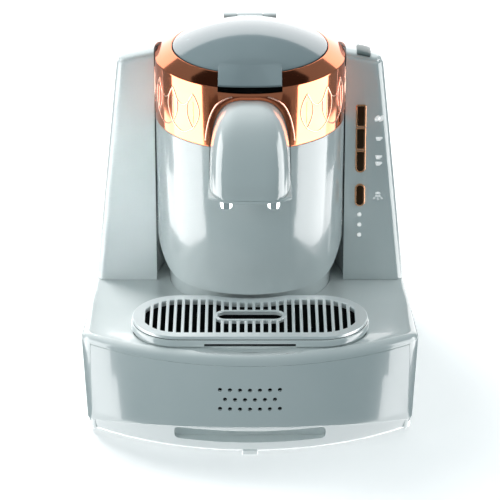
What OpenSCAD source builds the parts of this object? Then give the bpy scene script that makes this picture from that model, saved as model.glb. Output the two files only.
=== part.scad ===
// Electric Turkish coffee maker: a brewing barrel with a hinged lid stands in the niche of a
// tapered rear housing, on a bowed base with a drip tray, with a water tank at the back.
// Millimetres, +Z up. The front faces -Y, and the origin is on the floor under the middle.

/* [Base] */
// Width of the deck to each side of the rear housing's foot
deck_side = 6.4; // [4:0.2:8]
// Depth of the deck in front of the drip tray
deck_front = 14; // [12:0.5:16]
// Depth of the deck behind the rear housing
deck_rear = 46; // [44:0.5:50]
// Radius of the bowed front in plan
front_r = 206; // [198:1:216]
// Radius of the front corners in plan
corner_r = 15; // [13:1:17]
// Radius of the rear corners in plan
rear_corner_r = 26; // [22:1:30]
// Lean of the base's sides towards the rear, in degrees
side_lean = 3.7; // [3.2:0.1:4.2]
// Inward draft of the base's walls from the seam down to their foot
base_draft = 3; // [2:0.5:4]
// Height of the seam between the front panel and the deck
seam_z = 76.5; // [74:0.5:79]
// Drop of the deck below the seam, at the foot of the rear housing
deck_drop = 1.5; // [0.5:0.5:3]
// Rise of the deck towards the front, in degrees
deck_rise = 3.8; // [3.4:0.1:4]
// Reach of the deck's rolled edge in plan
roll_w = 5.5; // [5:0.1:5.8]
// Depth of the dish pressed into the deck round the tray
dish = 2; // [1:0.5:3]
// Wall thickness of the base mouldings
base_wall = 2.4; // [2:0.1:2.8]
// Height of the underside of the base pan
pan_z = 4.3; // [4:0.1:5]
// Height of the pan's low rim round the sides
pan_rim_z = 12; // [11:0.5:13]
// Height of the front panel's lower edge at the middle
arch_z = 26.5; // [25:0.5:28]
// Drop of the front panel's lower edge towards the corners
arch_drop = 12.3; // [11:0.1:13]
// Slope of the skirt back towards the floor
skirt_slope = 5.5; // [4:0.5:7]

/* [Finger recess] */
// Width of the finger recess in the skirt
recess_w = 110; // [100:1:120]
// Height of the finger recess
recess_h = 10.5; // [9:0.5:11]
// Depth of the finger recess
recess_d = 9; // [7:0.5:11]
// Width of the small tab under the skirt
tab_w = 11; // [8:0.5:14]

/* [Sound holes] */
// Diameter of the sound holes in the front panel
hole_d = 3.1; // [2.6:0.1:3.6]
// Distance between the sound holes in a row
hole_pitch = 7.2; // [6.6:0.1:8]
// Distance between the rows of sound holes
hole_row = 7.7; // [7:0.1:8.4]
// Height of the middle row of sound holes
hole_z = 49.3; // [47:0.1:52]

/* [Drip tray] */
// Width of the deck to each side of the grille
grille_side = 37.2; // [35:0.2:40]
// Overall depth of the grille
grille_d = 68.6; // [66:0.2:71]
// Rise of the grille's top face above the deck at the housing's foot
grille_rise = 17.8; // [17:0.1:18.4]
// Thickness of the grille plate
grille_t = 2.6; // [2.2:0.1:3]
// Width of the solid border round the slots
grille_border = 7.2; // [6.6:0.1:8]
// Distance between the slots
slot_pitch = 5.75; // [5.5:0.05:6.2]
// Width of a slot
slot_w = 3.5; // [3.2:0.1:3.8]
// Distance from the barrel's front to the middle of the tray
tray_ahead = 30.5; // [29.5:0.5:31]
// Depth of the tray's well below the deck at the housing's foot
well_depth = 13; // [11:0.5:15]
// Wall thickness of the tray
tray_wall = 2; // [1.6:0.1:2.4]

/* [Barrel] */
// Diameter of the barrel
barrel_d = 140; // [136:1:142]
// Gap between the grille and the barrel's lower rim at the front
rim_gap = 2.2; // [1.7:0.1:4]
// Height of the barrel from its lower rim to the copper band
barrel_h = 116; // [112:1:120]
// Wall thickness of the barrel
barrel_wall = 2.5; // [2:0.1:2.8]
// Inset of the pedestal's wall from the barrel's
pedestal_in = 9; // [8:0.5:11]
// Height of the upright face of the copper band
band_h = 47; // [45:0.5:49]
// Width of the bevel on top of the band, in plan
bevel_w = 12.8; // [12:0.2:13.6]
// Height of the bevel on top of the band
bevel_h = 7.5; // [7:0.1:8]
// Thickness of the band's metal
band_t = 2.1; // [1.8:0.1:2.4]

/* [Lid] */
// Rise of the lid's dome above the band
dome_h = 14.5; // [13:0.5:16]
// Thickness of the lid's shell
lid_t = 2.4; // [2:0.1:2.8]
// Width of the lid's front tab
lid_tab_w = 46; // [42:1:50]
// Diameter of the hinge pin
pin_d = 3; // [2.5:0.1:3.5]
// Radial play of the lid on its hinge pin
pin_play = 0.06; // [0.03:0.01:0.09]

/* [Brewing unit] */
// Distance from the barrel's outside to the brewing chamber's
chamber_in = 28; // [27:0.5:30]
// Depth of the brewing chamber
chamber_h = 70; // [66:1:72]
// Thickness of the chamber's steel
chamber_t = 1.2; // [1:0.1:1.5]

/* [Spout] */
// Width of the spout cover at its foot
spout_w = 58.8; // [56:0.2:61]
// Reach of the spout cover in front of the barrel
spout_reach = 35; // [33:0.5:37]
// Drop of the spout cover's foot below the copper band
spout_drop = 25; // [23:0.5:27]
// Height of the spout cover
spout_h = 63.5; // [62:0.5:65]
// Diameter of a nozzle
nozzle_d = 9.6; // [9:0.1:10.2]
// Distance between the two nozzles
nozzle_pitch = 34; // [32:0.5:36]
// Length of a nozzle below its plate
nozzle_l = 7.5; // [6.5:0.5:8.5]

/* [Rear housing] */
// Distance from the barrel's axis forward to the housing's face
face_ahead = 3; // [2:0.5:4]
// Width of the housing's face beside the barrel, at the height of the band's top
face_w = 27.6; // [26.6:0.2:29]
// Growth of each side of the housing from there down to its foot
side_flare = 19; // [17:0.5:21]
// Depth of the housing behind the barrel
housing_behind = 14; // [13:0.5:16]
// Radius of the housing's front edges
edge_r = 7; // [6:0.5:8]
// Wall thickness of the housing
housing_wall = 2.4; // [2:0.1:2.8]
// Rise of the roof's ridge above the mouth of the copper band
ridge_rise = 3; // [2:0.5:5]
// Fall of the roof from the middle to the housing's side
crown_drop = 13; // [12:0.5:14]
// Slope of the roof towards the rear, in degrees
roof_slope = 27; // [25:0.5:29]

/* [Controls] */
// Distance of the buttons' middle from the barrel's side
button_in = 12.5; // [12:0.1:13.5]
// Width of a button's frame
button_w = 7.6; // [7:0.1:8]
// Height of a button's frame
button_h = 18.4; // [17.6:0.1:19]
// Drop of the uppermost button below the top of the band
button_drop = 38.6; // [37:0.1:40]
// Gap between the cup buttons and the cleaning button
button_break = 9; // [8:0.1:10]
// Travel of a button
button_travel = 1.2; // [1:0.1:1.4]
// Play round a button in its frame
button_play = 0.15; // [0.1:0.01:0.2]
// Diameter of a light
led_d = 3; // [2.6:0.1:3.4]
// Distance between the lights
led_pitch = 8.4; // [8:0.1:8.8]
// Width of the cup size slider
slider_w = 10.6; // [10:0.1:11.2]
// Travel of the cup size slider to each side
slider_travel = 4; // [3:0.5:4.5]

/* [Water tank] */
// Inset of the tank's sides from the housing's sides
tank_inset = 9; // [8:0.5:10]
// Wall thickness of the tank
tank_wall = 2.2; // [2:0.1:2.6]
// Height of the tank's cover
tank_lid_h = 9; // [8:0.5:10]

/* [Fits] */
// Gap between pieces that seat on each other
seat_gap = 0.3; // [0.25:0.01:0.4]
// Gap round a removable piece
slip_gap = 0.4; // [0.35:0.05:0.5]
// Gap between the barrel and the dent in the tray's rear edge
dent_gap = 1.5; // [1.4:0.1:2]

/* [Hidden] */
$fn = 64;

// Small allowance that carries a cut clear through a face
eps = 0.5;

// Widths, which follow from the barrel's, and depths, which add up along the machine
barrel_r = barrel_d / 2;
housing_top_w = barrel_d + 2 * face_w;
housing_w = housing_top_w + 2 * side_flare;
base_w = housing_w + 2 * deck_side;
grille_w = base_w - 2 * grille_side;
grille_r = grille_d / 2;
grille_a = grille_w / 2 - grille_r;
tray_lip_r = grille_r + 1.2;
tray_reach = barrel_r + tray_ahead;
barrel_setback = tray_reach + tray_lip_r + deck_front;
housing_d = face_ahead + barrel_r + housing_behind;
machine_d = barrel_setback - face_ahead + housing_d + deck_rear;

// Heights, from the seam upwards
deck_z = seam_z - deck_drop;
well_z = deck_z - well_depth;
grille_z = deck_z + grille_rise;
rim_z = grille_z + rim_gap;
band_z = rim_z + barrel_h;
band_top = band_z + band_h;
mouth_z = band_top + bevel_h;
collar_z = band_top - 8;
chamber_top = collar_z + 3;
shelf_t = 3;
shelf_z = chamber_top - chamber_h - 21;
spout_z = band_z - spout_drop;
ridge_z = mouth_z + ridge_rise;
button_top_z = band_top - button_drop;

// Plan of the base: a bowed front, tight front corners, leaning sides, round rear corners
front_y = -machine_d / 2;
rear_y = machine_d / 2;
arc_y = front_y + front_r;
corner_a = asin((base_w / 2 - corner_r) / (front_r - corner_r));
corner_c = [base_w / 2 - corner_r, arc_y - (front_r - corner_r) * cos(corner_a)];
side_n = [cos(side_lean), sin(side_lean)];
rear_start = corner_c + (corner_r - rear_corner_r) * side_n;
rear_run = (rear_y - rear_corner_r - rear_start[1]) / cos(side_lean);
rear_c = [rear_start[0] - rear_run * sin(side_lean), rear_y - rear_corner_r];

// Skirt, feet and screws under the base
skirt_d = 16;
foot_d = 18;
foot_stem_d = 8;
foot_places = [
    for (p = [[base_w / 2 - 35, front_y + 62], [base_w / 2 - 39, rear_y - 28]], s = [1, -1])
        [s * p[0], p[1]]
];
screw_d = 3;
screw_l = 14;
screw_head_d = 6;
screw_head_h = 0.9;
boss_d = 8;
boss_foot = pan_z + base_wall + seat_gap;
boss_places = [
    for (p = [[base_w / 2 - 22, 24], [base_w / 2 - 43, rear_y - 48], [34, rear_y - 12]], s = [1, -1])
        [s * p[0], p[1]]
];

// Where the main parts stand along Y
barrel_y = front_y + barrel_setback;
tray_y = barrel_y - tray_reach;
face_y = barrel_y - face_ahead;
housing_back = face_y + housing_d;
pedestal_y = barrel_y + 6;

// Barrel, band and lid
band_r = barrel_r + 0.3;
mouth_r = band_r - bevel_w;
chamber_r = barrel_r - chamber_in;
niche_r = band_r + 2 * seat_gap;
pedestal_r = barrel_r - pedestal_in;

// Tray and grille
well_r = grille_r - 0.4;
tray_r = well_r - slip_gap;
tray_top = grille_z - grille_t - seat_gap;
tray_flange_z = tray_top - 5;

// Roof of the housing
ridge_y = face_y + 10;
ridge_round = 40;
roof_edge = 2.6;
crown_k = crown_drop / pow(housing_top_w / 2, 2);

// Spout
spout_root = barrel_y - barrel_r;
spout_back = barrel_y - 58;
plate_t = 2.3;
plate_lip = 0.6;
nozzle_y = spout_root - spout_reach * 0.63;

// Buttons and lights: the tops of the frames, from the uppermost down
button_x = barrel_r + button_in;
button_tops = [
    button_top_z,
    button_top_z - button_h,
    button_top_z - 2 * button_h,
    button_top_z - 3 * button_h - button_break
];
led_top_z = button_tops[3] - button_h - 7;

// ---------------------------------------------------------------- helpers

function clamp(v, lo, hi) = max(lo, min(hi, v));
function unit(v) = v / norm(v);
function lerp(a, b, t) = a + (b - a) * t;
function backwards(v) = [for (i = [len(v) - 1:-1:0]) v[i]];

// Points of an arc with their outward directions: [x, y, nx, ny]
function arc(c, r, a0, a1, n, skip = 0) = [
    for (i = [skip:n])
        let (a = a0 + (a1 - a0) * i / n)
            [c[0] + r * cos(a), c[1] + r * sin(a), cos(a), sin(a)]
];

// Points between two ends of a straight run, both ends left out
function run(p, q, dir, n) = [
    for (i = [1:n - 1])
        let (s = lerp(p, q, i / n)) [s[0], s[1], dir[0], dir[1]]
];

// A right half from the front middle to the rear middle, closed by its mirror image
function both_sides(half) = concat(
    half,
    [for (i = [len(half) - 2:-1:1]) [-half[i][0], half[i][1], -half[i][2], half[i][3]]]
);

// Outline of the base, counter-clockwise from the front middle
base_half = concat(
    arc([0, arc_y], front_r, -90, -90 + corner_a, 12),
    arc(corner_c, corner_r, -90 + corner_a, side_lean, 6, 1),
    run(corner_c + corner_r * side_n, rear_c + rear_corner_r * side_n, side_n, 10),
    arc(rear_c, rear_corner_r, side_lean, 90, 7),
    [[0, rear_y, 0, 1]]
);
base_ring = both_sides(base_half);

function deck_at(y) = deck_z + max(0, face_y - y) * tan(deck_rise);
function roll_at(y) = max(1, deck_at(y) - seam_z);
function roll_in(y, t) = t > 0 ? 1 : min(roll_at(y) + 1, roll_w);

// The nearest point of a stadium of half length a and radius r round the tray's middle
function to_stadium(p, a, r) =
    let (c = [clamp(p[0], -a, a), tray_y]) c + r * unit([p[0], p[1]] - c);

// Triangles between rings of n points each, wound to face outwards when rings go upwards
function ring_sides(n, rings, closed = false) = [
    for (k = [0:rings - (closed ? 1 : 2)], i = [0:n - 1])
        let (a = k * n, b = ((k + 1) % rings) * n, j = (i + 1) % n)
            each [[a + i, b + i, b + j], [a + i, b + j, a + j]]
];

// A solid through a stack of rings, its ends closed by fans round their middles
module ring_solid(rings) {
    n = len(rings[0]);
    m = len(rings);
    low = rings[0];
    high = rings[m - 1];
    function middle(r) = [for (k = [0:2]) (max([for (p = r) p[k]]) + min([for (p = r) p[k]])) / 2];
    points = concat([for (r = rings) each r], [middle(low), middle(high)]);
    faces = concat(
        ring_sides(n, m),
        [for (i = [0:n - 1]) [i, (i + 1) % n, m * n]],
        [for (i = [0:n - 1]) [(m - 1) * n + (i + 1) % n, (m - 1) * n + i, m * n + 1]]
    );
    polyhedron(points = points, faces = faces, convexity = 8);
}

// A hollow wall whose outer rings run up and whose inner rings run down again
module ring_wall(rings) {
    n = len(rings[0]);
    polyhedron(
        points = [for (r = rings) each r],
        faces = ring_sides(n, len(rings), true),
        convexity = 8
    );
}

// The base's plan as exact arcs, drawn in from its outline by an inset
module base_plan(inset) {
    ca = [cos(-90 + corner_a), sin(-90 + corner_a)];
    right = [
        corner_c + (corner_r - inset) * ca,
        corner_c + (corner_r - inset) * side_n,
        rear_c + (rear_corner_r - inset) * side_n,
        rear_c + (rear_corner_r - inset) * [0, 1]
    ];
    left = [for (i = [3:-1:0]) [-right[i][0], right[i][1]]];
    polygon(concat(right, left));
    for (s = [-1, 1]) {
        translate([s * corner_c[0], corner_c[1]]) circle(corner_r - inset);
        translate([s * rear_c[0], rear_c[1]]) circle(rear_corner_r - inset);
    }
    intersection() {
        translate([0, arc_y]) circle(front_r - inset, $fn = 360);
        translate([-base_w / 2, front_y]) square([base_w, right[0][1] - front_y]);
        polygon([[0, arc_y], right[0] * 3 - 2 * [0, arc_y], left[3] * 3 - 2 * [0, arc_y]]);
    }
}

module stadium(a, r) {
    square([2 * a, 2 * r], center = true);
    for (s = [-1, 1]) translate([s * a, 0]) circle(r);
}

module tube(r_out, r_in, h) {
    difference() {
        cylinder(r = r_out, h = h);
        translate([0, 0, -eps]) cylinder(r = r_in, h = h + 2 * eps);
    }
}

// A cylinder along Y, from y = 0 backwards
module rod_y(r, l) {
    rotate([-90, 0, 0]) cylinder(r = r, h = l);
}

module rod_x(r, l) {
    rotate([0, 90, 0]) cylinder(r = r, h = l);
}

// A box given by its middle in X, its start in Y and Z, and its size
module box_at(x, y, z, size) {
    translate([x - size[0] / 2, y, z]) cube(size);
}

// Rounded upright slab in the XZ plane, drawn from y backwards
module slab_y(w, h, r, t) {
    rotate([90, 0, 0]) translate([0, 0, -t]) linear_extrude(t) {
        square([w - 2 * r, h], center = true);
        square([w, h - 2 * r], center = true);
        for (sx = [-1, 1], sz = [-1, 1])
            translate([sx * (w / 2 - r), sz * (h / 2 - r)]) circle(r);
    }
}

// A pipe along a route of points whose legs run along the axes, with round bends
module pipe(route, r, bend) {
    n = len(route);
    for (i = [0:n - 2]) {
        d = unit(route[i + 1] - route[i]);
        p = route[i] + (i == 0 ? 0 : bend) * d;
        q = route[i + 1] - (i == n - 2 ? 0 : bend) * d;
        leg(p, d, norm(q - p), r);
    }
    for (i = [1:n - 2]) elbow(route[i], unit(route[i] - route[i - 1]),
        unit(route[i + 1] - route[i]), r, bend);
}

module leg(p, d, l, r) {
    side = abs(d[2]) > 0.5 ? [1, 0, 0] : [0, 0, 1];
    up = cross(d, side);
    multmatrix([
        [side[0], up[0], d[0], p[0]],
        [side[1], up[1], d[1], p[1]],
        [side[2], up[2], d[2], p[2]],
        [0, 0, 0, 1]
    ]) cylinder(r = r, h = l, $fn = 24);
}

module elbow(c, d1, d2, r, bend) {
    z = cross(-d2, d1);
    o = c - bend * d1 + bend * d2;
    multmatrix([
        [-d2[0], d1[0], z[0], o[0]],
        [-d2[1], d1[1], z[1], o[1]],
        [-d2[2], d1[2], z[2], o[2]],
        [0, 0, 0, 1]
    ]) rotate_extrude(angle = 90, $fn = 48) translate([bend, 0]) circle(r, $fn = 24);
}

// ---------------------------------------------------------------- base

// The big circle that arches the front panel's lower edge and the skirt's upper edge
module arch_cut(z) {
    half = corner_c[0] + corner_r * sin(corner_a);
    r = (half * half + arch_drop * arch_drop) / (2 * arch_drop);
    translate([0, front_y - 10, z - r]) rod_y(r, front_r, $fn = 360);
}

// A sector of a bowed wall between two radii from the front arc's centre
module front_sector(profile_r, profile_w, z, h, a) {
    translate([0, arc_y, 0]) rotate([0, 0, -90 - a]) rotate_extrude(angle = 2 * a, $fn = 360)
        translate([profile_r - profile_w, z]) square([profile_w, h]);
}

module skirt() {
    top = arch_z + 1;
    intersection() {
        translate([0, arc_y, 0]) rotate([0, 0, -90 - corner_a])
            rotate_extrude(angle = 2 * corner_a, $fn = 360)
                polygon([
                    [front_r - skirt_d - 1, pan_z],
                    [front_r - skirt_slope - 1, pan_z],
                    [front_r - skirt_slope, pan_z + 1.5],
                    [front_r - 0.8, top],
                    [front_r - skirt_d - 1, top]
                ]);
        arch_cut(arch_z - seat_gap);
    }
}

module base_pan() {
    color("whitesmoke") difference() {
        union() {
            difference() {
                translate([0, 0, pan_z]) linear_extrude(pan_rim_z - pan_z)
                    base_plan(base_draft + seat_gap + 1);
                translate([0, 0, pan_z + base_wall]) linear_extrude(pan_rim_z)
                    base_plan(base_draft + seat_gap + 1 + base_wall);
                front_sector(front_r + 5, 5 + skirt_d, 0, pan_rim_z + eps, corner_a + 0.01);
            }
            skirt();
            box_at(0, front_y + skirt_slope, pan_z - 3, [tab_w, 5, 4]);
        }
        finger_recess();
        for (p = foot_places) translate([p[0], p[1], pan_z - eps])
            cylinder(d = foot_stem_d + 0.2, h = base_wall + 2 * eps);
        for (p = boss_places) translate([p[0], p[1], pan_z - eps]) {
            cylinder(d = screw_d + 0.4, h = base_wall + 2 * eps);
            cylinder(d = screw_head_d + 0.6, h = eps + 1);
        }
    }
}

// The finger recess: a rounded pocket that follows the bow of the skirt
module finger_recess() {
    z = pan_z + 8 + recess_h / 2;
    intersection() {
        front_sector(front_r + 5, 5 + recess_d, 0, 2 * arch_z, corner_a);
        translate([0, front_y - eps, z]) slab_y(recess_w, recess_h, 3, 4 * recess_d);
    }
}

// Four feet, each pushed into the pan by a stem
module rubber_feet() {
    color("dimgray") for (p = foot_places) translate([p[0], p[1], 0]) {
        cylinder(d1 = foot_d - 1.5, d2 = foot_d, h = 1);
        translate([0, 0, 1]) cylinder(d = foot_d, h = pan_z - 1);
        cylinder(d = foot_stem_d, h = pan_z + base_wall);
    }
}

// The screws that hold the pan to the deck's bosses
module pan_screws() {
    color("silver") for (p = boss_places) translate([p[0], p[1], pan_z]) {
        cylinder(d = screw_head_d, h = screw_head_h);
        cylinder(d = screw_d, h = screw_l);
    }
}

// One ring of the deck's skin: drawn in by an inset per point, at a height per point
function skin_ring(drop_in, wall_z) = [
    for (p = base_ring)
        let (s = drop_in(p)) [p[0] - s * p[2], p[1] - s * p[3], wall_z(p)]
];

roll_steps = 5;
rim_round = 0.8;

// Shares of the way from the roll to the tray's well, closer together on the outer skin
function deck_steps(t) = t > 0 ? [0.12, 0.35, 0.7, 0.95] : [0.06, 0.12, 0.22, 0.35, 0.52, 0.7, 0.85, 0.95];

// Outer skin of the deck moulding, thinned by t towards the inside
function deck_skin(t) = concat(
    [skin_ring(function(p) base_draft + t, function(p) pan_rim_z)],
    [skin_ring(function(p) 0.25 + t, function(p) seam_z - 8)],
    [
        for (k = [0:roll_steps])
            let (a = 90 * k / roll_steps)
                skin_ring(
                    function(p) t + roll_in(p[1], t) * (1 - cos(a)),
                    function(p) deck_at(p[1]) - roll_at(p[1]) - t + roll_at(p[1]) * sin(a)
                )
    ],
    [
        for (f = deck_steps(t)) [
            for (p = base_ring)
                let (
                    s = t + roll_in(p[1], t),
                    q = [p[0] - s * p[2], p[1] - s * p[3]],
                    w = to_stadium(q, grille_a, well_r + max(t, rim_round)),
                    u = lerp(q, w, f),
                    hollow = dish * sin(180 * pow(f, 0.7)) * clamp((face_y - u[1]) / 40, 0, 1)
                ) [u[0], u[1], deck_at(u[1]) - t - hollow]
        ]
    ],
    [
        for (z = t > 0 ? [0] : [1, 0]) [
            for (p = base_ring)
                let (
                    s = t + roll_in(p[1], t),
                    q = [p[0] - s * p[2], p[1] - s * p[3]],
                    w = to_stadium(q, grille_a, well_r + t + z * rim_round / 2)
                ) [w[0], w[1], deck_at(w[1]) - t - (z == 1 ? 0 : 1.2)]
        ]
    ],
    [
        [
            for (p = base_ring)
                let (
                    s = t + roll_in(p[1], t),
                    q = [p[0] - s * p[2], p[1] - s * p[3]],
                    w = to_stadium(q, grille_a, well_r + t)
                ) [w[0], w[1], well_z - t]
        ]
    ]
);

// One wall from the well's underside out and down to the foot, then up and back over the deck
module deck_shell() {
    color("whitesmoke") difference() {
        union() {
            ring_solid(concat(backwards(deck_skin(base_wall)), deck_skin(0)));
            for (p = boss_places) translate([p[0], p[1], boss_foot])
                cylinder(d = boss_d, h = deck_z - base_wall / 2 - boss_foot);
        }
        front_opening();
        box_at(0, face_y - seat_gap, deck_z + 0.02, [housing_w + 2 * seat_gap, machine_d, 20]);
        deck_scoop();
        translate([0, pedestal_y, deck_z - 10]) cylinder(r = pedestal_r + slip_gap, h = 30);
        for (s = [-1, 1]) box_at(s * (barrel_r + 8), face_y + 14, deck_z - 10, [16, 30, 20]);
        translate([0, dock_y, deck_z - 10]) cylinder(r = dock_r + seat_gap, h = 20);
        translate([gland_x, rear_y - 10, gland_z]) rod_y(gland_r + seat_gap, 20);
        for (p = boss_places) translate([p[0], p[1], 0])
            cylinder(d = screw_d - 0.4, h = pan_z + screw_l + 6);
    }
}

// A shallow scoop in front of the tray, for the fingers that lift it
module deck_scoop() {
    r = 12;
    bow = 240;
    low = deck_at(front_y) - dish - 1.8;
    translate([0, tray_y - tray_lip_r - 3.5, low + r + bow]) rotate([90, 0, 0])
        rotate([0, 0, -105]) rotate_extrude(angle = 30, $fn = 360) translate([bow, 0]) circle(r);
}

// The opening in the deck moulding's front that the front panel closes
module front_opening() {
    front_sector(front_r + 10, 10 + base_draft + base_wall + 3, -10, seam_z + 10, corner_a);
}

// The bowed front panel with its arched lower edge and rows of 7, 6 and 7 sound holes
module front_panel() {
    color("whitesmoke") difference() {
        front_sector(front_r, base_wall, pan_rim_z + 2, seam_z - seat_gap - pan_rim_z - 2,
            corner_a - 0.1);
        arch_cut(arch_z);
        for (k = [-1:1], i = [0:(k == 0 ? 5 : 6)])
            translate([(i - (k == 0 ? 2.5 : 3)) * hole_pitch, front_y - eps, hole_z + k * hole_row])
                rod_y(hole_d / 2, 6, $fn = 24);
    }
}

// ---------------------------------------------------------------- drip tray

// Plan of the tray and its grille: a stadium dented where the barrel stands over it, so that
// both lift straight up past the barrel's front
module tray_plan(r, inset) {
    difference() {
        stadium(grille_a, r);
        translate([0, tray_reach]) circle(barrel_r + dent_gap + inset, $fn = 128);
    }
}

// The tray: a tub with a flange round its top, notched under the front for the fingers
module drip_tray() {
    floor_z = well_z + slip_gap;
    notch = [66, 3.5, 3];
    color("white") translate([0, tray_y, 0]) difference() {
        union() {
            translate([0, 0, floor_z]) linear_extrude(tray_top - floor_z) tray_plan(tray_r, 0);
            translate([0, 0, tray_flange_z]) linear_extrude(tray_top - tray_flange_z)
                tray_plan(tray_lip_r, 0);
        }
        translate([0, 0, floor_z + tray_wall]) linear_extrude(tray_top)
            tray_plan(tray_r - tray_wall, tray_wall);
        box_at(0, -tray_lip_r - eps, tray_flange_z - eps, notch);
    }
}

// The grille: a slotted plate with a raised ring in the middle and a rib that centres it
module drip_grille() {
    slot_r = grille_r - grille_border;
    count = floor((grille_w / 2 - grille_border) / slot_pitch - 0.2);
    boss_r = 8.6;
    boss_a = 17.4;
    rib_r = tray_r - tray_wall - slip_gap;
    rib_t = 1.6;
    rib_h = 3;
    color("gainsboro") translate([0, tray_y, grille_z - grille_t]) difference() {
        union() {
            linear_extrude(grille_t) tray_plan(grille_r, 0);
            linear_extrude(grille_t + 0.6) stadium(boss_a, boss_r);
            translate([0, 0, -rib_h]) linear_extrude(rib_h + eps) difference() {
                tray_plan(rib_r, tray_wall + slip_gap);
                tray_plan(rib_r - rib_t, tray_wall + slip_gap + rib_t);
            }
        }
        translate([0, 0, -eps]) linear_extrude(grille_t + 2 * eps) difference() {
            intersection() {
                tray_plan(slot_r, grille_border);
                for (i = [-count:count]) translate([i * slot_pitch, 0])
                    square([slot_w, grille_d], center = true);
            }
            stadium(boss_a, boss_r);
        }
        translate([0, 0, -eps]) linear_extrude(grille_t + 3 * eps)
            stadium(boss_a, boss_r - 2.4);
    }
}

// ---------------------------------------------------------------- barrel

// Side view of everything below the barrel's swept lower rim, as [y, z]
module under_rim() {
    sweep_r = 41;
    sweep_a = 38;
    start = barrel_y - barrel_r + 14;
    turn = [start + sweep_r * sin(sweep_a), rim_z + sweep_r * (1 - cos(sweep_a))];
    stop = [barrel_y - 2, turn[1] + (barrel_y - 2 - turn[0]) * tan(sweep_a)];
    difference() {
        polygon([
            [start, -eps],
            [start, rim_z],
            turn,
            stop,
            [barrel_y + barrel_d, stop[1]],
            [barrel_y + barrel_d, -eps]
        ]);
        intersection() {
            translate([start, rim_z + sweep_r]) circle(sweep_r, $fn = 180);
            translate([start, rim_z]) square([turn[0] - start, sweep_r]);
        }
    }
}

// Front view of the spout cover as [x, z], grown by g
function cover_half(s) = spout_w / 2 * pow(1 - pow(1 - s, 3), 1 / 3);
function cover_front(s) = spout_root - spout_reach * pow(1 - pow(1 - s, 2.2), 1 / 2.2);

module cover_view(g, foot) {
    steps = 18;
    half = [
        for (k = [0:steps])
            let (s = pow(k / steps, 1.8)) [cover_half(s) + g * min(1, 4 * s + 0.5),
                spout_z + spout_h * (1 - s) + g * (1 - s)]
    ];
    polygon(concat(
        half,
        [[spout_w / 2 + g, foot], [-spout_w / 2 - g, foot]],
        [for (k = [steps:-1:0]) [-half[k][0], half[k][1]]]
    ));
}

// A cut through the barrel's front in the shape of the spout cover and its plate
module cover_cut(g, y, l) {
    foot = plate_t + 2 * seat_gap;
    translate([0, y + l, 0]) rotate([90, 0, 0]) linear_extrude(l) cover_view(g, spout_z - foot);
    box_at(0, y, spout_z - foot, [spout_w + 2 * (plate_lip + g), l, foot + seat_gap]);
}

// The column under the barrel: a flange below the deck and a shelf that carries the barrel
module pedestal() {
    below = 8;
    color("whitesmoke") difference() {
        union() {
            translate([0, pedestal_y, deck_z - below])
                cylinder(r = pedestal_r, h = shelf_z - deck_z + below);
            translate([0, pedestal_y, deck_z - below]) intersection() {
                cylinder(r = pedestal_r + 4, h = below - base_wall - seat_gap);
                box_at(0, -pedestal_r - 2, 0, [2 * barrel_d, 2 * barrel_d, below]);
            }
            translate([0, barrel_y, shelf_z])
                cylinder(r = barrel_r - barrel_wall - seat_gap, h = shelf_t);
        }
        translate([0, pedestal_y, deck_z - below - eps])
            cylinder(r = pedestal_r - base_wall, h = shelf_z - deck_z + below);
        translate([0, barrel_y, shelf_z - 1]) cylinder(r = chamber_r - 14, h = shelf_t + 2);
    }
}

// The white barrel: an open tube with a swept lower rim and a neck inside the copper band
module barrel_shell() {
    color("white") difference() {
        translate([0, barrel_y, 0]) union() {
            translate([0, 0, rim_z]) tube(barrel_r, barrel_r - barrel_wall, band_z - seat_gap - rim_z);
            translate([0, 0, band_z - 4])
                tube(band_r - band_t - seat_gap, barrel_r - 5, collar_z - band_z + 4);
        }
        rotate([90, 0, 90]) translate([0, 0, -barrel_d]) linear_extrude(2 * barrel_d) under_rim();
        cover_cut(slip_gap, spout_root - 2, 26);
    }
}

// The band round the barrel's top, with a bevel that runs in to the lid
module copper_band() {
    color("sienna") difference() {
        translate([0, barrel_y, 0]) rotate_extrude($fn = 128) polygon([
            [band_r - band_t, band_z],
            [band_r, band_z],
            [band_r, band_top],
            [mouth_r, mouth_z],
            [mouth_r, mouth_z - 3],
            [band_r - band_t, band_top - 2]
        ]);
        lid_notch(seat_gap);
        hinge_notch();
        cover_cut(slip_gap, spout_root - 2, 26);
    }
}

// The notch in the front of the band that takes the lid's tab, with a finger gap below it
module lid_notch(g) {
    box_at(0, barrel_y - band_r - 2, collar_z + 4.6, [lid_tab_w + 2 * g, 24, 30]);
}

hinge_w = 40;
hinge_y = barrel_y + 65;
hinge_z = mouth_z - 2;

module hinge_notch() {
    box_at(0, barrel_y + 40, collar_z - 2, [hinge_w + 2 * seat_gap, 40, 30]);
}

// The collar that closes the gap between the band and the brewing chamber
module chamber_collar() {
    color([0.12, 0.12, 0.12]) translate([0, barrel_y, collar_z]) difference() {
        cylinder(r = band_r - band_t - 2 * seat_gap, h = 3 - seat_gap);
        translate([0, 0, -eps]) cylinder(r = chamber_r + seat_gap, h = 5);
        box_at(0, 40, -eps, [hinge_w + 2 * seat_gap, 40, 5]);
    }
}

// The steel brewing chamber, hung by its rim, with an outlet to the spout
module brew_chamber() {
    outlet_z = spout_z + 8;
    color("silver") difference() {
        translate([0, barrel_y, 0]) union() {
            translate([0, 0, chamber_top - chamber_h]) cylinder(r = chamber_r, h = chamber_h);
            translate([0, 0, chamber_top]) cylinder(r = chamber_r + 4, h = chamber_t);
            translate([0, -chamber_r - 4, outlet_z]) rod_y(6, 8);
        }
        translate([0, barrel_y, chamber_top - chamber_h + chamber_t])
            cylinder(r = chamber_r - chamber_t, h = chamber_h + 2);
        translate([0, barrel_y - chamber_r - 5, outlet_z]) rod_y(4.2, 10);
    }
}

heater_z = chamber_top - chamber_h - seat_gap - 5;

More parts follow.
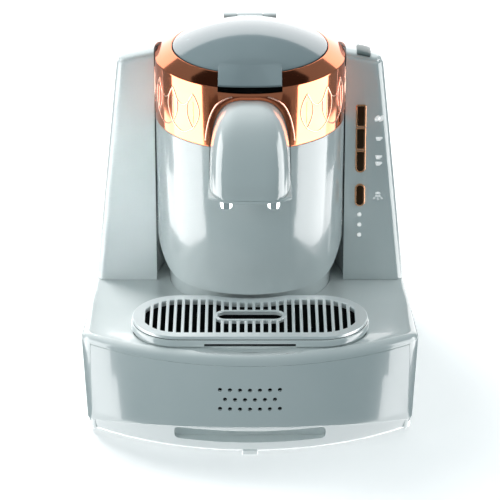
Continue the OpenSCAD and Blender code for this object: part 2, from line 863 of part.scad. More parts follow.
module heater_plate() {
    color("darkgray") translate([0, barrel_y, heater_z]) {
        difference() {
            cylinder(r = chamber_r - 2, h = 5);
            translate([0, 0, -eps]) cylinder(r = 8, h = 6);
        }
        for (a = [30:120:270]) rotate([0, 0, a]) translate([chamber_r - 7, 0, -heater_post()])
            cylinder(r = 3, h = heater_post() + eps);
    }
}

// Height of the heater's posts above the pedestal's shelf
function heater_post() = heater_z - shelf_z - shelf_t;

module thermostat() {
    color("black") translate([0, barrel_y, heater_z - 3]) {
        cylinder(r = 7.6, h = 8);
        translate([0, 0, -2]) cylinder(r = 5, h = 3);
    }
}

// ---------------------------------------------------------------- lid

lid_r = mouth_r - slip_gap;
dome_r = (lid_r * lid_r + dome_h * dome_h) / (2 * dome_h);
tab_front = barrel_y - band_r;

module lid_dome() {
    color("whitesmoke") difference() {
        union() {
            translate([0, barrel_y, 0]) rotate_extrude($fn = 96) difference() {
                intersection() {
                    translate([0, mouth_z + dome_h - dome_r]) circle(dome_r, $fn = 360);
                    translate([0, mouth_z - 3]) square([lid_r, dome_h + 4]);
                }
                translate([0, mouth_z + dome_h - dome_r]) circle(dome_r - lid_t, $fn = 360);
            }
            lid_tab();
            lid_knuckle();
        }
        translate([-hinge_w, hinge_y, hinge_z]) rod_x(pin_d / 2 + pin_play, 2 * hinge_w);
    }
}

// The tab runs on from the dome, down the line of the band's bevel
module lid_tab() {
    fall = 4.7;
    back = barrel_y - lid_r + 8;
    translate([-lid_tab_w / 2, 0, 0]) rotate([90, 0, 90]) linear_extrude(lid_tab_w) polygon([
        [tab_front, mouth_z - fall - 1.5],
        [tab_front, mouth_z - fall],
        [barrel_y - lid_r + 1, mouth_z + 0.2],
        [back, mouth_z + 1],
        [back, mouth_z - 2]
    ]);
}

module lid_knuckle() {
    half = 9.5;
    reach = barrel_y + lid_r - 3;
    translate([-half, hinge_y, hinge_z]) rod_x(3.2, 2 * half);
    box_at(0, reach, hinge_z - 0.8, [2 * half, hinge_y - reach, 2.6]);
}

// Inner plate of the lid, on four posts, with a rim that presses the seal
module lid_liner() {
    post_at = 36;
    post_r = 3;
    plate_z = mouth_z - 5.6;
    rim_low = chamber_top + chamber_t + 2.4;
    post_top = mouth_z + dome_h - dome_r - seat_gap
        + sqrt(pow(dome_r - lid_t, 2) - pow(post_at + post_r, 2));
    color("dimgray") translate([0, barrel_y, 0]) {
        translate([0, 0, plate_z]) cylinder(r = lid_r - 5, h = 2.3);
        for (a = [45:90:315]) rotate([0, 0, a]) translate([post_at, 0, plate_z + 1])
            cylinder(r = post_r, h = post_top - plate_z - 1);
        translate([0, 0, rim_low]) tube(chamber_r + 3.4, chamber_r - 4, plate_z + 1 - rim_low);
    }
}

module lid_seal() {
    color("gray") translate([0, barrel_y, chamber_top + chamber_t + seat_gap])
        tube(chamber_r + 3, chamber_r - 3, 2.1 - seat_gap);
}

bracket_t = 4;

module hinge_bracket() {
    ear = (hinge_w - 2 * 10) / 2;
    color("dimgray") difference() {
        union() {
            intersection() {
                translate([0, barrel_y, collar_z + seat_gap]) cylinder(r = band_r - 0.2, h = bracket_t);
                box_at(0, barrel_y + chamber_r + 12, collar_z - 2, [hinge_w, 40, 20]);
            }
            for (s = [-1, 1]) {
                translate([s * (10 + ear / 2) - ear / 2, hinge_y, hinge_z]) rod_x(3.4, ear);
                box_at(s * (10 + ear / 2), hinge_y - 3.4, collar_z + 3, [ear, 6.8, hinge_z - collar_z - 3]);
            }
        }
        translate([-hinge_w, hinge_y, hinge_z]) rod_x(pin_d / 2, 2 * hinge_w);
    }
}

module hinge_pin() {
    color("silver") translate([-hinge_w / 2 + 1, hinge_y, hinge_z]) rod_x(pin_d / 2, hinge_w - 2);
}

// ---------------------------------------------------------------- spout

cover_turns = 15;

// Section of the spout cover at a share s down from its top: a boxy bow closed by a flat back
function cover_ring(s) =
    let (w = cover_half(s), f = cover_front(s), m = 0.47)
        [
            for (i = [0:2 * cover_turns])
                let (a = 180 + 180 * i / (2 * cover_turns), c = cos(a), q = abs(sin(a)))
                    [w * sign(c) * pow(abs(c), m), lerp(spout_back, f, pow(q, m)),
                        spout_z + spout_h * (1 - s)]
        ];

module spout_cover() {
    stations = [for (k = [14:-1:0]) pow(k / 14, 1.7)];
    rings = [for (s = stations) cover_ring(max(s, 0.003))];
    color("white") difference() {
        ring_solid(rings);
        translate([0, 0, -2]) cover_hollow(12, spout_root - spout_reach * 0.55, 4);
        translate([0, 0, -12]) cover_hollow(26, spout_root - spout_reach * 0.8, 4);
    }
}

// Room inside the cover, below a top lowered by d, from the front y backwards
module cover_hollow(d, y, t) {
    intersection() {
        translate([0, spout_back + 5, 0]) rotate([90, 0, 0]) linear_extrude(spout_back + 5 - y)
            translate([0, -d + 12]) cover_view(-t, spout_z - 20);
        translate([-spout_w, y, spout_z - 30]) cube([2 * spout_w, spout_w, 30 + spout_h - d]);
    }
}

module spout_plan(g) {
    bow = 56;
    intersection() {
        translate([0, cover_front(1) + bow - g]) circle(bow, $fn = 180);
        translate([-spout_w / 2 - g, cover_front(1) - g]) square([spout_w + 2 * g, spout_w]);
        translate([0, barrel_y]) difference() {
            translate([-spout_w, -2 * spout_w]) square(4 * spout_w);
            circle(barrel_r - barrel_wall - 1.5, $fn = 180);
        }
        translate([-spout_w, cover_front(1) - g]) square([2 * spout_w, spout_reach + 14]);
    }
}

module spout_plate() {
    color("white") difference() {
        translate([0, 0, spout_z - plate_t - seat_gap]) linear_extrude(plate_t) spout_plan(plate_lip);
        for (s = [-1, 1]) translate([s * nozzle_pitch / 2, nozzle_y, spout_z - 10])
            cylinder(d = nozzle_d + 0.2, h = 20);
    }
}

module nozzles() {
    color("silver") for (s = [-1, 1])
        translate([s * nozzle_pitch / 2, nozzle_y, spout_z - plate_t - seat_gap - nozzle_l])
            tube(nozzle_d / 2, nozzle_d / 2 - 1.4, nozzle_l + plate_t + 2);
}

module spout_manifold() {
    z = spout_z + 8;
    from = barrel_y - chamber_r - 4;
    color("dimgray") difference() {
        union() {
            translate([0, nozzle_y, z]) rod_y(5, from - nozzle_y - seat_gap);
            translate([-nozzle_pitch / 2, nozzle_y, z]) rod_x(5, nozzle_pitch);
            for (s = [-1, 1]) translate([s * nozzle_pitch / 2, nozzle_y, spout_z + 2])
                cylinder(r = nozzle_d / 2, h = z - spout_z - 2);
        }
        translate([0, nozzle_y, z]) rod_y(2.6, 60);
        translate([-nozzle_pitch / 2, nozzle_y, z]) rod_x(2.6, nozzle_pitch);
        for (s = [-1, 1]) translate([s * nozzle_pitch / 2, nozzle_y, spout_z + 1])
            cylinder(r = 2.6, h = z - spout_z - 1);
    }
}

// ---------------------------------------------------------------- rear housing

// Height of the roof at a place: crowned across, rounded over the ridge, sloping to the rear
function roof_at(x, y) =
    let (
        ahead = max(0, ridge_y - y),
        back = max(0, y - ridge_y),
        bend = ridge_round * tan(roof_slope),
        near = min(back, bend)
    )
        ridge_z - crown_k * x * x - ahead * ahead * 0.02
            - near * near / (2 * ridge_round) - (back - near) * tan(roof_slope);

// Plan of the housing at a height given by its half width, drawn in by an inset, with
// upright edges of radius r, between y0 and y1, leaning in to the rear
function housing_plan(half, y0, y1, r, inset, rr) =
    let (
        lean = side_lean,
        n = [cos(lean), sin(lean)],
        cf = [half - r / cos(lean), y0 + r],
        cr0 = [half - (y1 - rr - y0) * tan(lean) - rr / cos(lean), y1 - rr]
    )
        both_sides(concat(
            [for (i = [0:10]) [cf[0] * i / 11, y0 + inset, 0, -1]],
            arc(cf, r - inset, -90, lean, 5),
            run(cf + (r - inset) * n, cr0 + (rr - inset) * n, n, 12),
            arc(cr0, rr - inset, lean, 90, 5),
            [for (i = [10:-1:0]) [cr0[0] * i / 11, y1 - inset, 0, 1]]
        ));

// A ring of the housing at heights given by zf(x, y), between its foot and its top plan
function housing_ring(y0, y1, r, inset, rr, side, zf) =
    let (
        low = housing_plan(housing_w / 2 - side, y0, y1, r, inset, rr),
        high = housing_plan(housing_top_w / 2 - side, y0, y1, r, inset, rr)
    )
        [
            for (i = [0:len(low) - 1])
                let (z = zf(high[i][0], high[i][1]), t = (z - deck_z) / (band_top - deck_z))
                    [lerp(low[i][0], high[i][0], t), low[i][1], z]
        ];

foot_z = deck_z + seat_gap;

module rear_housing() {
    w = housing_wall;
    color("whitesmoke") union() {
        difference() {
            ring_wall([
                wall_ring(0, foot_drop),
                wall_ring(0, function(x, y) roof_at(x, y) - roof_edge - 2.4),
                wall_ring(1.1, function(x, y) roof_at(x, y) - roof_edge),
                wall_ring(w, function(x, y) roof_at(x, y) - roof_edge),
                wall_ring(w, foot_drop)
            ]);
            translate([0, barrel_y, deck_z - eps]) cylinder(r = niche_r, h = ridge_z, $fn = 128);
            for (t = button_tops) window(t, button_w - 2 * frame_t + 2 * button_play,
                button_h - 2 * frame_t + 2 * button_play);
            for (i = [0:2]) translate([button_x, face_y - eps, led_top_z - i * led_pitch])
                rod_y(led_d / 2 + 0.1, 2 * w, $fn = 32);
        }
        niche_wall();
    }
}

foot_drop = function(x, y) foot_z;

function wall_ring(inset, zf) = housing_ring(face_y, housing_back, edge_r, inset, edge_r, 0, zf);

// The upright wall of the niche, from the housing's face round behind the barrel
module niche_wall() {
    w = housing_wall;
    difference() {
        translate([0, barrel_y, foot_z]) tube(niche_r + w, niche_r, ridge_z - foot_z, $fn = 128);
        translate([-barrel_d, face_y + w / 2 - barrel_d, deck_z]) cube([2 * barrel_d, barrel_d, 2 * ridge_z]);
        translate([-barrel_d, housing_back - w / 2, deck_z]) cube([2 * barrel_d, barrel_d, 2 * ridge_z]);
        roof_cut(roof_edge + seat_gap);
    }
}

// A ring of the roof's edge, and one drawn in from it by a share towards the roof's middle
function roof_ring(inset, drop) =
    housing_ring(face_y, housing_back, edge_r, inset, edge_r, 0, function(x, y) roof_at(x, y) - drop);
function crown_ring(share, drop) = [
    for (p = roof_ring(3.2, 0))
        let (
            c = [clamp(p[0], -60, 60), (face_y + housing_back) / 2],
            q = lerp([p[0], p[1]], c, share)
        ) [q[0], q[1], roof_at(q[0], q[1]) - drop]
];

// Everything above the roof lowered by d
module roof_cut(d) {
    ring_solid(concat(
        [for (f = [0.9, 0.6, 0.3]) crown_ring(f, d)],
        [roof_ring(-1, d), [for (p = roof_ring(-1, d)) [p[0], p[1], 2 * ridge_z]]]
    ));
}

module window(top, w, h) {
    translate([button_x, face_y - eps, top - button_h / 2]) slab_y(w, h, 0.6, housing_wall + 2 * eps);
}

module top_cover() {
    low = roof_edge - seat_gap;
    color("whitesmoke") difference() {
        ring_solid(concat(
            [for (f = [0.9, 0.6, 0.3]) crown_ring(f, low)],
            [roof_ring(1.1, low), roof_ring(1.2, 1.2), roof_ring(1.9, 0.35), roof_ring(3.2, 0)],
            [for (f = [0.1, 0.3, 0.6, 0.9]) crown_ring(f, 0)]
        ));
        translate([0, barrel_y, deck_z - eps]) cylinder(r = niche_r, h = ridge_z, $fn = 128);
        slider_place() translate([-slider_travel - 2.5, slider_stem_y - 2.2, -8])
            cube([2 * slider_travel + 5, 4.4, 20]);
    }
}

// ---------------------------------------------------------------- controls

slider_x = button_x + 1.3;
slider_lean = atan(2 * crown_k * slider_x);
slider_stem_y = ridge_y + 4;

// Frame on the roof's crown at the slider: X along the crown, Z out of the roof
module slider_place() {
    translate([slider_x, 0, roof_at(slider_x, ridge_y)]) rotate([0, slider_lean, 0]) children();
}

module size_slider() {
    rise = 0.5;
    color("slategray") slider_place() {
        translate([-slider_w / 2, 0, 0]) rotate([90, 0, 90]) linear_extrude(slider_w) polygon([
            [face_y + 0.6, -1.5],
            [face_y + 0.6, -0.4],
            [face_y + 4, 0.9],
            [ridge_y, 1.9],
            [ridge_y + 7, 1.6],
            [ridge_y + 7.6, -0.5],
            [ridge_y + 6, 0],
            [ridge_y, rise],
            [face_y + 5, rise - 0.4]
        ]);
        translate([-2, slider_stem_y - 1.8, -7]) cube([4, 3.6, 8.2]);
    }
}

frame_t = 1.3;
frame_out = 1;

module frame_outline(w, h, r_top, r_low) {
    translate([-w / 2 + r_low, -h / 2]) square([w - 2 * r_low, r_low + 0.01]);
    translate([-w / 2, -h / 2 + r_low]) square([w, h - r_low - r_top]);
    translate([-w / 2 + r_top, h / 2 - r_top - 0.01]) square([w - 2 * r_top, r_top + 0.01]);
    for (s = [-1, 1]) {
        translate([s * (w / 2 - r_top), h / 2 - r_top]) circle(r_top);
        translate([s * (w / 2 - r_low), -h / 2 + r_low]) circle(r_low);
    }
}

// Corner radii at the top and foot of each button's frame, from the uppermost down
button_round = [
    [1.6, 0.4],
    [0.4, 0.4],
    [0.4, button_w / 2 - 0.05],
    [button_w / 2 - 0.05, button_w / 2 - 0.05]
];

module button_bezels() {
    color("peru") for (i = [0:3]) {
        r = button_round[i];
        h = button_h - (i < 3 ? 0.4 : 0);
        translate([button_x, face_y, button_tops[i] - button_h / 2]) rotate([90, 0, 0])
            linear_extrude(frame_out) difference() {
                frame_outline(button_w, h, r[0], r[1]);
                frame_outline(button_w - 2 * frame_t, h - 2 * frame_t,
                    max(0.3, r[0] - frame_t), max(0.3, r[1] - frame_t));
            }
    }
}

board_y = face_y + 11;

// Corner radius of a cap inside a frame of corner radius r
function cap_round(r) = max(0.3, r - frame_t - button_play);

// A push button: a cap in its frame, a flange behind the housing's wall, and a stem
module push_button(i) {
    r = button_round[i];
    w = button_w - 2 * frame_t - 2 * button_play;
    h = button_h - (i < 3 ? 0.4 : 0) - 2 * frame_t - 2 * button_play;
    inside = face_y + housing_wall + seat_gap;
    color([0.2, 0.1, 0.06]) translate([button_x, 0, button_tops[i] - button_h / 2]) {
        translate([0, inside, 0]) rotate([90, 0, 0])
            linear_extrude(inside - face_y + frame_out + 0.5)
                frame_outline(w, h, cap_round(r[0]), cap_round(r[1]));
        box_at(0, inside, -h / 2 - 0.6, [w + 2, 1.2, h + 1.2]);
        translate([0, inside + 1, 0]) rod_y(1.8, board_y - inside - 1 - 2 - button_travel - seat_gap);
    }
}

module button_roast() push_button(0);
module button_one_cup() push_button(1);
module button_two_cups() push_button(2);
module button_clean() push_button(3);

module light_pipes() {
    color("white") for (i = [0:2])
        translate([button_x, face_y - 0.3, led_top_z - i * led_pitch])
            rod_y(led_d / 2, board_y - face_y - seat_gap, $fn = 32);
}

// The board behind the buttons, on two pillars from the housing's face, with its switches
module control_board() {
    x = button_x + 1.5;
    low = led_top_z - 2 * led_pitch - 8;
    high = button_top_z + 7;
    inside = face_y + housing_wall + seat_gap;
    color("darkgreen") {
        box_at(x, board_y, low, [18, 1.6, high - low]);
        for (t = button_tops) translate([button_x, board_y - 2, t - button_h / 2]) {
            rod_y(1.5, 2.2);
            box_at(0, 0.8, -3, [6, 1.4, 6]);
        }
        for (z = [low + 3, high - 3]) translate([x - 6, inside, z])
            rod_y(2.5, board_y - inside + eps);
        box_at(x + 2, board_y + 1.5, low + 20, [10, 7, 24]);
    }
}

// ---------------------------------------------------------------- works in the base

// The power board on four pillars: a transformer, a capacitor and a relay
module power_board() {
    w = 0.366 * base_w;
    d = 0.157 * machine_d;
    floor_z = pan_z + base_wall;
    lift = 8;
    top = floor_z + lift + 1.5;
    color("darkgreen") translate([0, tray_y + 18.5, 0]) {
        box_at(0, 0, floor_z + lift, [w, d, 1.6]);
        for (x = [-w / 2 + 5, w / 2 - 5], y = [4, d - 4]) translate([x, y, floor_z])
            cylinder(r = 2.5, h = lift + 0.2);
        box_at(-0.27 * w, 6, top, [0.31 * w, 26, 20]);
        translate([0.18 * w, 14, top]) cylinder(r = 8, h = 22);
        box_at(0.38 * w, 6, top, [0.15 * w, 20, 14]);
    }
}

// The buzzer behind the sound holes, on a plate that stands on the skirt
module buzzer() {
    deep = front_y + base_wall + seat_gap + 4;
    color("black") translate([0, 0, hole_z]) {
        translate([0, deep, 0]) rod_y(10, 6);
        box_at(0, deep + 2, arch_z - hole_z, [26, 4, hole_z - arch_z]);
    }
}

pump_l = 0.244 * base_w;
pump_r = 17;
pump_c = [-0.1626 * base_w, barrel_y + 48, 34];
port_l = 12;

// The vibration pump: its body, a slimmer head and a port at each end
module water_pump() {
    color("dimgray") translate(pump_c) {
        translate([-pump_l / 2, 0, 0]) rod_x(pump_r, pump_l * 0.7);
        translate([pump_l * 0.2 - eps, 0, 0]) rod_x(11, pump_l * 0.3);
        translate([-pump_l / 2 - port_l, 0, 0]) rod_x(4, port_l + 1);
        translate([pump_l / 2 - 1, 0, 0]) rod_x(4, port_l + 1);
    }
}

// Two rubber mounts that stand on the pan and hold the pump's body
module pump_mounts() {
    color("black") for (x = [-pump_l / 2 + 6, pump_l * 0.2 - 12])
        translate(pump_c + [x, 0, 0]) difference() {
            union() {
                rod_x(pump_r + 4, 6);
                translate([0, -pump_r - 4, pan_z + base_wall - pump_c[2]])
                    cube([6, 2 * (pump_r + 4), pump_c[2] - pan_z - base_wall]);
            }
            translate([-1, 0, 0]) rod_x(pump_r + 0.1, 8);
        }
}

dock_y = (housing_back + rear_y - 2) / 2;
dock_r = 14;
hose_r = 4;

// Hose from the tank's dock down and round to the pump
module inlet_hose() {
    turn_z = pump_c[2] + 12;
    turn_x = 28 - base_w / 2;
    color("lightgray") pipe([
        [0, dock_y, deck_z - 14 - seat_gap],
        [0, dock_y, turn_z],
        [turn_x, dock_y, turn_z],
        [turn_x, pump_c[1], turn_z],
        [turn_x, pump_c[1], pump_c[2]],
        [pump_c[0] - pump_l / 2 - port_l - seat_gap, pump_c[1], pump_c[2]]
    ], hose_r, 5.5);
}

// Hose from the pump up through the pedestal to the heater
module outlet_hose() {
    rise_x = 12;
    rise_y = pedestal_y + pedestal_r - 29;
    cross_z = pump_c[2] + 14;
    top_z = shelf_z - 14;
    end_y = barrel_y + 20;
    color("lightgray") pipe([
        [pump_c[0] + pump_l / 2 + port_l + seat_gap, pump_c[1], pump_c[2]],
        [rise_x, pump_c[1], pump_c[2]],
        [rise_x, pump_c[1], cross_z],
        [rise_x, rise_y, cross_z],
        [rise_x, rise_y, top_z],
        [rise_x, end_y, top_z],
        [rise_x, end_y, heater_z - seat_gap]
    ], hose_r - 1, 4);
}

// The dock under the tank: a socket for the tank's valve, held from below the deck
module tank_dock() {
    color("dimgray") difference() {
        union() {
            translate([0, dock_y, deck_z - 14]) cylinder(r = dock_r, h = 14 - seat_gap);
            translate([0, dock_y, deck_z - base_wall - seat_gap - 3]) cylinder(r = dock_r + 4, h = 3);
        }
        translate([0, dock_y, deck_z - 9]) cylinder(r = dock_r - 3.5, h = 12);
        translate([0, dock_y, deck_z - 15]) cylinder(r = 2.6, h = 10);
    }
}

module dock_seal() {
    color("black") translate([0, dock_y, deck_z - 9 + 0.02]) tube(dock_r - 3.6, 6, 2);
}

// ---------------------------------------------------------------- water tank

tank_y0 = housing_back + seat_gap;
tank_y1 = rear_y - 2;
tank_floor = deck_z + seat_gap;

function tank_ring(inset, zf) = housing_ring(tank_y0, tank_y1, 6, inset, 20, tank_inset, zf);
function tank_roof(x, y) = roof_at(x, y) - tank_lid_h;

// The clear tank, which stands on the deck and follows the housing's taper
module water_tank() {
    w = tank_wall;
    color([0.75, 0.8, 0.82, 0.6]) difference() {
        ring_solid([
            tank_ring(1.5, function(x, y) tank_floor),
            tank_ring(0, function(x, y) tank_floor + 1.5),
            tank_ring(0, function(x, y) tank_roof(x, y))
        ]);
        ring_solid([
            tank_ring(w, function(x, y) tank_floor + w),
            tank_ring(w, function(x, y) tank_roof(x, y) + 20)
        ]);
        translate([0, dock_y, tank_floor - 1]) cylinder(r = 5 + 0.05, h = 8);
    }
}

// The valve in the tank's floor, with its strainer
module tank_valve() {
    color("white") translate([0, dock_y, 0]) {
        translate([0, 0, deck_z - 9 + 2 + seat_gap]) cylinder(r = 5, h = tank_floor - deck_z + 9 + 3);
        translate([0, 0, tank_floor + tank_wall + 0.02]) cylinder(r = 9, h = 1.6);
        translate([0, 0, tank_floor + tank_wall + 1.6]) cylinder(r = 7, h = 12);
    }
}

// The tank's cover, which carries on the roof's slope
module tank_lid() {
    plug = tank_wall + slip_gap;
    color("whitesmoke") difference() {
        ring_solid([
            tank_ring(plug, function(x, y) tank_roof(x, y) - 4),
            tank_ring(plug, function(x, y) tank_roof(x, y) + seat_gap),
            tank_ring(0, function(x, y) tank_roof(x, y) + seat_gap),
            tank_ring(0, function(x, y) roof_at(x, y) - 2),
            tank_ring(0.8, function(x, y) roof_at(x, y) - 0.6),
            tank_ring(2.4, function(x, y) roof_at(x, y))
        ]);
        ring_solid([
            tank_ring(plug + 2, function(x, y) tank_roof(x, y) - 5),
            tank_ring(plug + 2, function(x, y) roof_at(x, y) - 2.4)
        ]);
    }
}

gland_x = 60;
gland_z = 32;
gland_r = 8;

// The gland through which the mains cord leaves the base
module cable_gland() {
    color("black") translate([gland_x, 0, gland_z]) difference() {
        union() {
            translate([0, rear_y - 9, 0]) rod_y(gland_r, 8.8);
            translate([0, rear_y - base_wall - base_draft - seat_gap - 2, 0]) rod_y(gland_r + 3, 2);
        }
        translate([0, rear_y - 10, 0]) rod_y(3.5, 12);
    }
}

base_pan();
rubber_feet();
deck_shell();
front_panel();
pan_screws();
drip_tray();
drip_grille();
pedestal();
barrel_shell();
copper_band();
chamber_collar();
brew_chamber();
heater_plate();
thermostat();
lid_dome();
lid_liner();
lid_seal();
hinge_bracket();
hinge_pin();
spout_cover();
spout_plate();
nozzles();
spout_manifold();
rear_housing();
top_cover();
size_slider();
button_bezels();
button_roast();
button_one_cup();
button_two_cups();
button_clean();
light_pipes();
control_board();
power_board();
buzzer();
water_pump();
pump_mounts();
inlet_hose();
outlet_hose();
tank_dock();
dock_seal();
water_tank();
tank_valve();
tank_lid();
cable_gland();
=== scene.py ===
import math

import bmesh
import bpy
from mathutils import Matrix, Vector


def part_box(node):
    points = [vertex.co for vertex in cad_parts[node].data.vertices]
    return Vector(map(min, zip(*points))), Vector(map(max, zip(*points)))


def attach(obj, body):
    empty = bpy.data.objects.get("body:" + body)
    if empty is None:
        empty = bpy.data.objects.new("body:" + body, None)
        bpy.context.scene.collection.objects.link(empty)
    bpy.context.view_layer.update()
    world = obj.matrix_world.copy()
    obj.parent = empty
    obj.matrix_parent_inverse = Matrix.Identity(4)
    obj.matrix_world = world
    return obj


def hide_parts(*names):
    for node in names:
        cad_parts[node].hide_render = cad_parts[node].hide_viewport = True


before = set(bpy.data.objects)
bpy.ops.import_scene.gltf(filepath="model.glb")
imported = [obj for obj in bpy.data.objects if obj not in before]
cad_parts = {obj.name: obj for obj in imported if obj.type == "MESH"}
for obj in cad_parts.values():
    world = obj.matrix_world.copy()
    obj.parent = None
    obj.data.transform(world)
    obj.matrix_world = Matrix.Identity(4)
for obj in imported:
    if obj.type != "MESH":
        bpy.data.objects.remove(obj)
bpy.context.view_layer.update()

# ---------------------------------------------------------------- sizes, in millimetres

MM = 0.001

# Base
FRONT_Y, REAR_Y = -140.0, 140.0
BASE_W, FRONT_R, CORNER_R, REAR_CORNER_R = 246.0, 206.0, 15.0, 26.0
SIDE_LEAN = 3.7
BASE_DRAFT = 3.0
SEAM_Z, DECK_Z, DECK_RISE = 76.5, 75.0, 3.8
ROLL_W, RIM_ROUND, DISH = 5.5, 0.8, 2.0
WALL = 2.4
PAN_RIM_Z = 12.0
ARCH_Z, ARCH_DROP = 26.5, 12.3
PAN_Z, SKIRT_D, SKIRT_SLOPE, FOOT_R = 4.3, 16.0, 5.5, 9.0
RECESS_W, RECESS_H, RECESS_D, TAB_W = 110.0, 10.5, 9.0, 11.0
HOLE_D, HOLE_PITCH, HOLE_ROW, HOLE_Z = 3.1, 7.2, 7.7, 49.3

# Tray and grille
GRILLE_W, GRILLE_D, GRILLE_Z, GRILLE_T = 171.6, 68.6, 92.8, 2.6
GRILLE_BORDER, SLOT_PITCH, SLOT_W = 7.2, 5.75, 3.5
RING_A, RING_R, RING_HOLE_R = 17.4, 8.6, 6.2
TRAY_REACH, WELL_Z, TRAY_WALL = 100.5, 62.0, 2.0

# Barrel, band and lid
BARREL_Y, BARREL_R, BARREL_WALL = 10.0, 70.0, 2.5
RIM_Z, BAND_Z, BAND_H = 95.0, 211.0, 47.0
BEVEL_W, BEVEL_H, BAND_T = 12.8, 7.5, 2.1
DOME_H, LID_T, LID_TAB_W = 14.5, 2.4, 46.0
PEDESTAL_D = 122.0
EAR_X, EAR_W, EAR_R = 10.0, 10.0, 2.6
KNUCKLE_X, KNUCKLE_BORE_R = 9.5, 1.56

# Spout
SPOUT_W, SPOUT_REACH, SPOUT_Z, SPOUT_H = 58.8, 35.0, 186.0, 63.5
NOZZLE_D, NOZZLE_PITCH, NOZZLE_L, PLATE_T = 9.6, 34.0, 7.5, 2.3
COVER_BEND = 0.47  # an ellipse at 1, a rectangle at 0

# Rear housing
FACE_Y, HOUSING_W, HOUSING_TOP_W, HOUSING_D = 7.0, 233.2, 195.2, 87.0
EDGE_R, HOUSING_WALL, ROOF_EDGE = 7.0, 2.4, 2.6
RIDGE_Z, CROWN_DROP, ROOF_SLOPE, RIDGE_ROUND = 268.5, 13.0, 27.0, 40.0
ROOF_FLAT = 60.0
TANK_INSET, TANK_LID_H, TANK_WALL = 9.0, 9.0, 2.2
DOCK_R, WAY_X = 14.0, 78.0
GLAND_R, GLAND_X, GLAND_Z = 8.3, 60.0, 32.0

# Controls
BUTTON_X, BUTTON_W, BUTTON_H, BUTTON_TOP_Z, BUTTON_BREAK = 82.5, 7.6, 18.4, 219.4, 9.0
FRAME_T, BUTTON_PLAY = 1.3, 0.15
LED_D, LED_PITCH = 3.0, 8.4
SYMBOL_X = 13.6

SEAT, SLIP, DENT_GAP = 0.3, 0.4, 1.5

ARC_Y = FRONT_Y + FRONT_R
CORNER_A = math.degrees(math.asin((BASE_W / 2 - CORNER_R) / (FRONT_R - CORNER_R)))
BAND_R = BARREL_R + 0.3
BAND_TOP = BAND_Z + BAND_H
MOUTH_R, MOUTH_Z = BAND_R - BEVEL_W, BAND_TOP + BEVEL_H
COLLAR_Z = BAND_TOP - 8
TRAY_Y = BARREL_Y - TRAY_REACH
GRILLE_R = GRILLE_D / 2
GRILLE_A = GRILLE_W / 2 - GRILLE_R
WELL_R = GRILLE_R - 0.4
TRAY_R = WELL_R - SLIP
TRAY_LIP_R = GRILLE_R + 1.2
TRAY_TOP = GRILLE_Z - GRILLE_T - SEAT
LID_R = MOUTH_R - SLIP
NICHE_R = BAND_R + 2 * SEAT
HOUSING_BACK = FACE_Y + HOUSING_D
RIDGE_Y = FACE_Y + 10
HINGE_Y, HINGE_Z = BARREL_Y + 65, MOUTH_Z - 2
SPOUT_ROOT = BARREL_Y - BARREL_R
NOZZLE_Y = SPOUT_ROOT - SPOUT_REACH * 0.63
DOCK_Y = HOUSING_BACK + 22
BUTTON_TOPS = [
    BUTTON_TOP_Z,
    BUTTON_TOP_Z - BUTTON_H,
    BUTTON_TOP_Z - 2 * BUTTON_H,
    BUTTON_TOP_Z - 3 * BUTTON_H - BUTTON_BREAK,
]
LED_TOP_Z = BUTTON_TOPS[3] - BUTTON_H - 7


# ---------------------------------------------------------------- plain maths


def clamp(v, lo, hi):
    return max(lo, min(hi, v))


def lerp(a, b, t):
    return a + (b - a) * t


def cosd(a):
    return math.cos(math.radians(a))


def sind(a):
    return math.sin(math.radians(a))


def tand(a):
    return math.tan(math.radians(a))


def arc(c, r, a0, a1, n, skip=0):
    """Points of an arc with their outward directions: (x, y, nx, ny)."""
    out = []
    for i in range(skip, n + 1):
        a = a0 + (a1 - a0) * i / n
        out.append((c[0] + r * cosd(a), c[1] + r * sind(a), cosd(a), sind(a)))
    return out


def run(p, q, d, n):
    """Points between two ends of a straight run, both ends left out."""
    return [(lerp(p[0], q[0], i / n), lerp(p[1], q[1], i / n), d[0], d[1]) for i in range(1, n)]


def both_sides(half):
    """A right half from the front middle to the rear middle, closed by its mirror image."""
    return half + [(-x, y, -nx, ny) for x, y, nx, ny in half[-2:0:-1]]


def fillet(points, radii, steps=6):
    """A closed outline of (x, y) corners, each rounded by its own radius."""
    out = []
    n = len(points)
    for i, r in enumerate(radii):
        p, a, b = Vector(points[i]), Vector(points[i - 1]), Vector(points[(i + 1) % n])
        if r <= 0:
            out.append(tuple(p))
            continue
        u, v = (a - p).normalized(), (b - p).normalized()
        half = math.acos(clamp(u.dot(v), -0.9999, 0.9999)) / 2
        reach = min(r / math.tan(half), 0.48 * (a - p).length, 0.48 * (b - p).length)
        start, end = p + u * reach, p + v * reach
        for k in range(steps + 1):
            t = k / steps
            q = start * (1 - t) ** 2 + p * (2 * t * (1 - t)) + end * t * t
            out.append(tuple(q))
    return out


def stadium(a, r, n=24):
    """Outline of a stadium of half length a and radius r, counter-clockwise."""
    right = [(a + r * cosd(t), r * sind(t)) for t in steps(-90, 90, n)]
    left = [(-a + r * cosd(t), r * sind(t)) for t in steps(90, 270, n)]
    return right + left


def steps(a, b, n):
    return [a + (b - a) * i / n for i in range(n + 1)]


def rect(x0, x1, y0, y1):
    """Corners of a rectangle, counter-clockwise from the lower left one."""
    return [(x0, y0), (x1, y0), (x1, y1), (x0, y1)]


def circle(r, n, x=0, y=0):
    """Outline of a circle with n points."""
    return [(x + r * cosd(a), y + r * sind(a)) for a in steps(0, 360, n)[:-1]]


# ---------------------------------------------------------------- materials


def node_material(name):
    mat = bpy.data.materials.new(name)
    mat.use_nodes = True
    tree = mat.node_tree
    shader = next(n for n in tree.nodes if n.type == "BSDF_PRINCIPLED")
    return mat, tree, shader


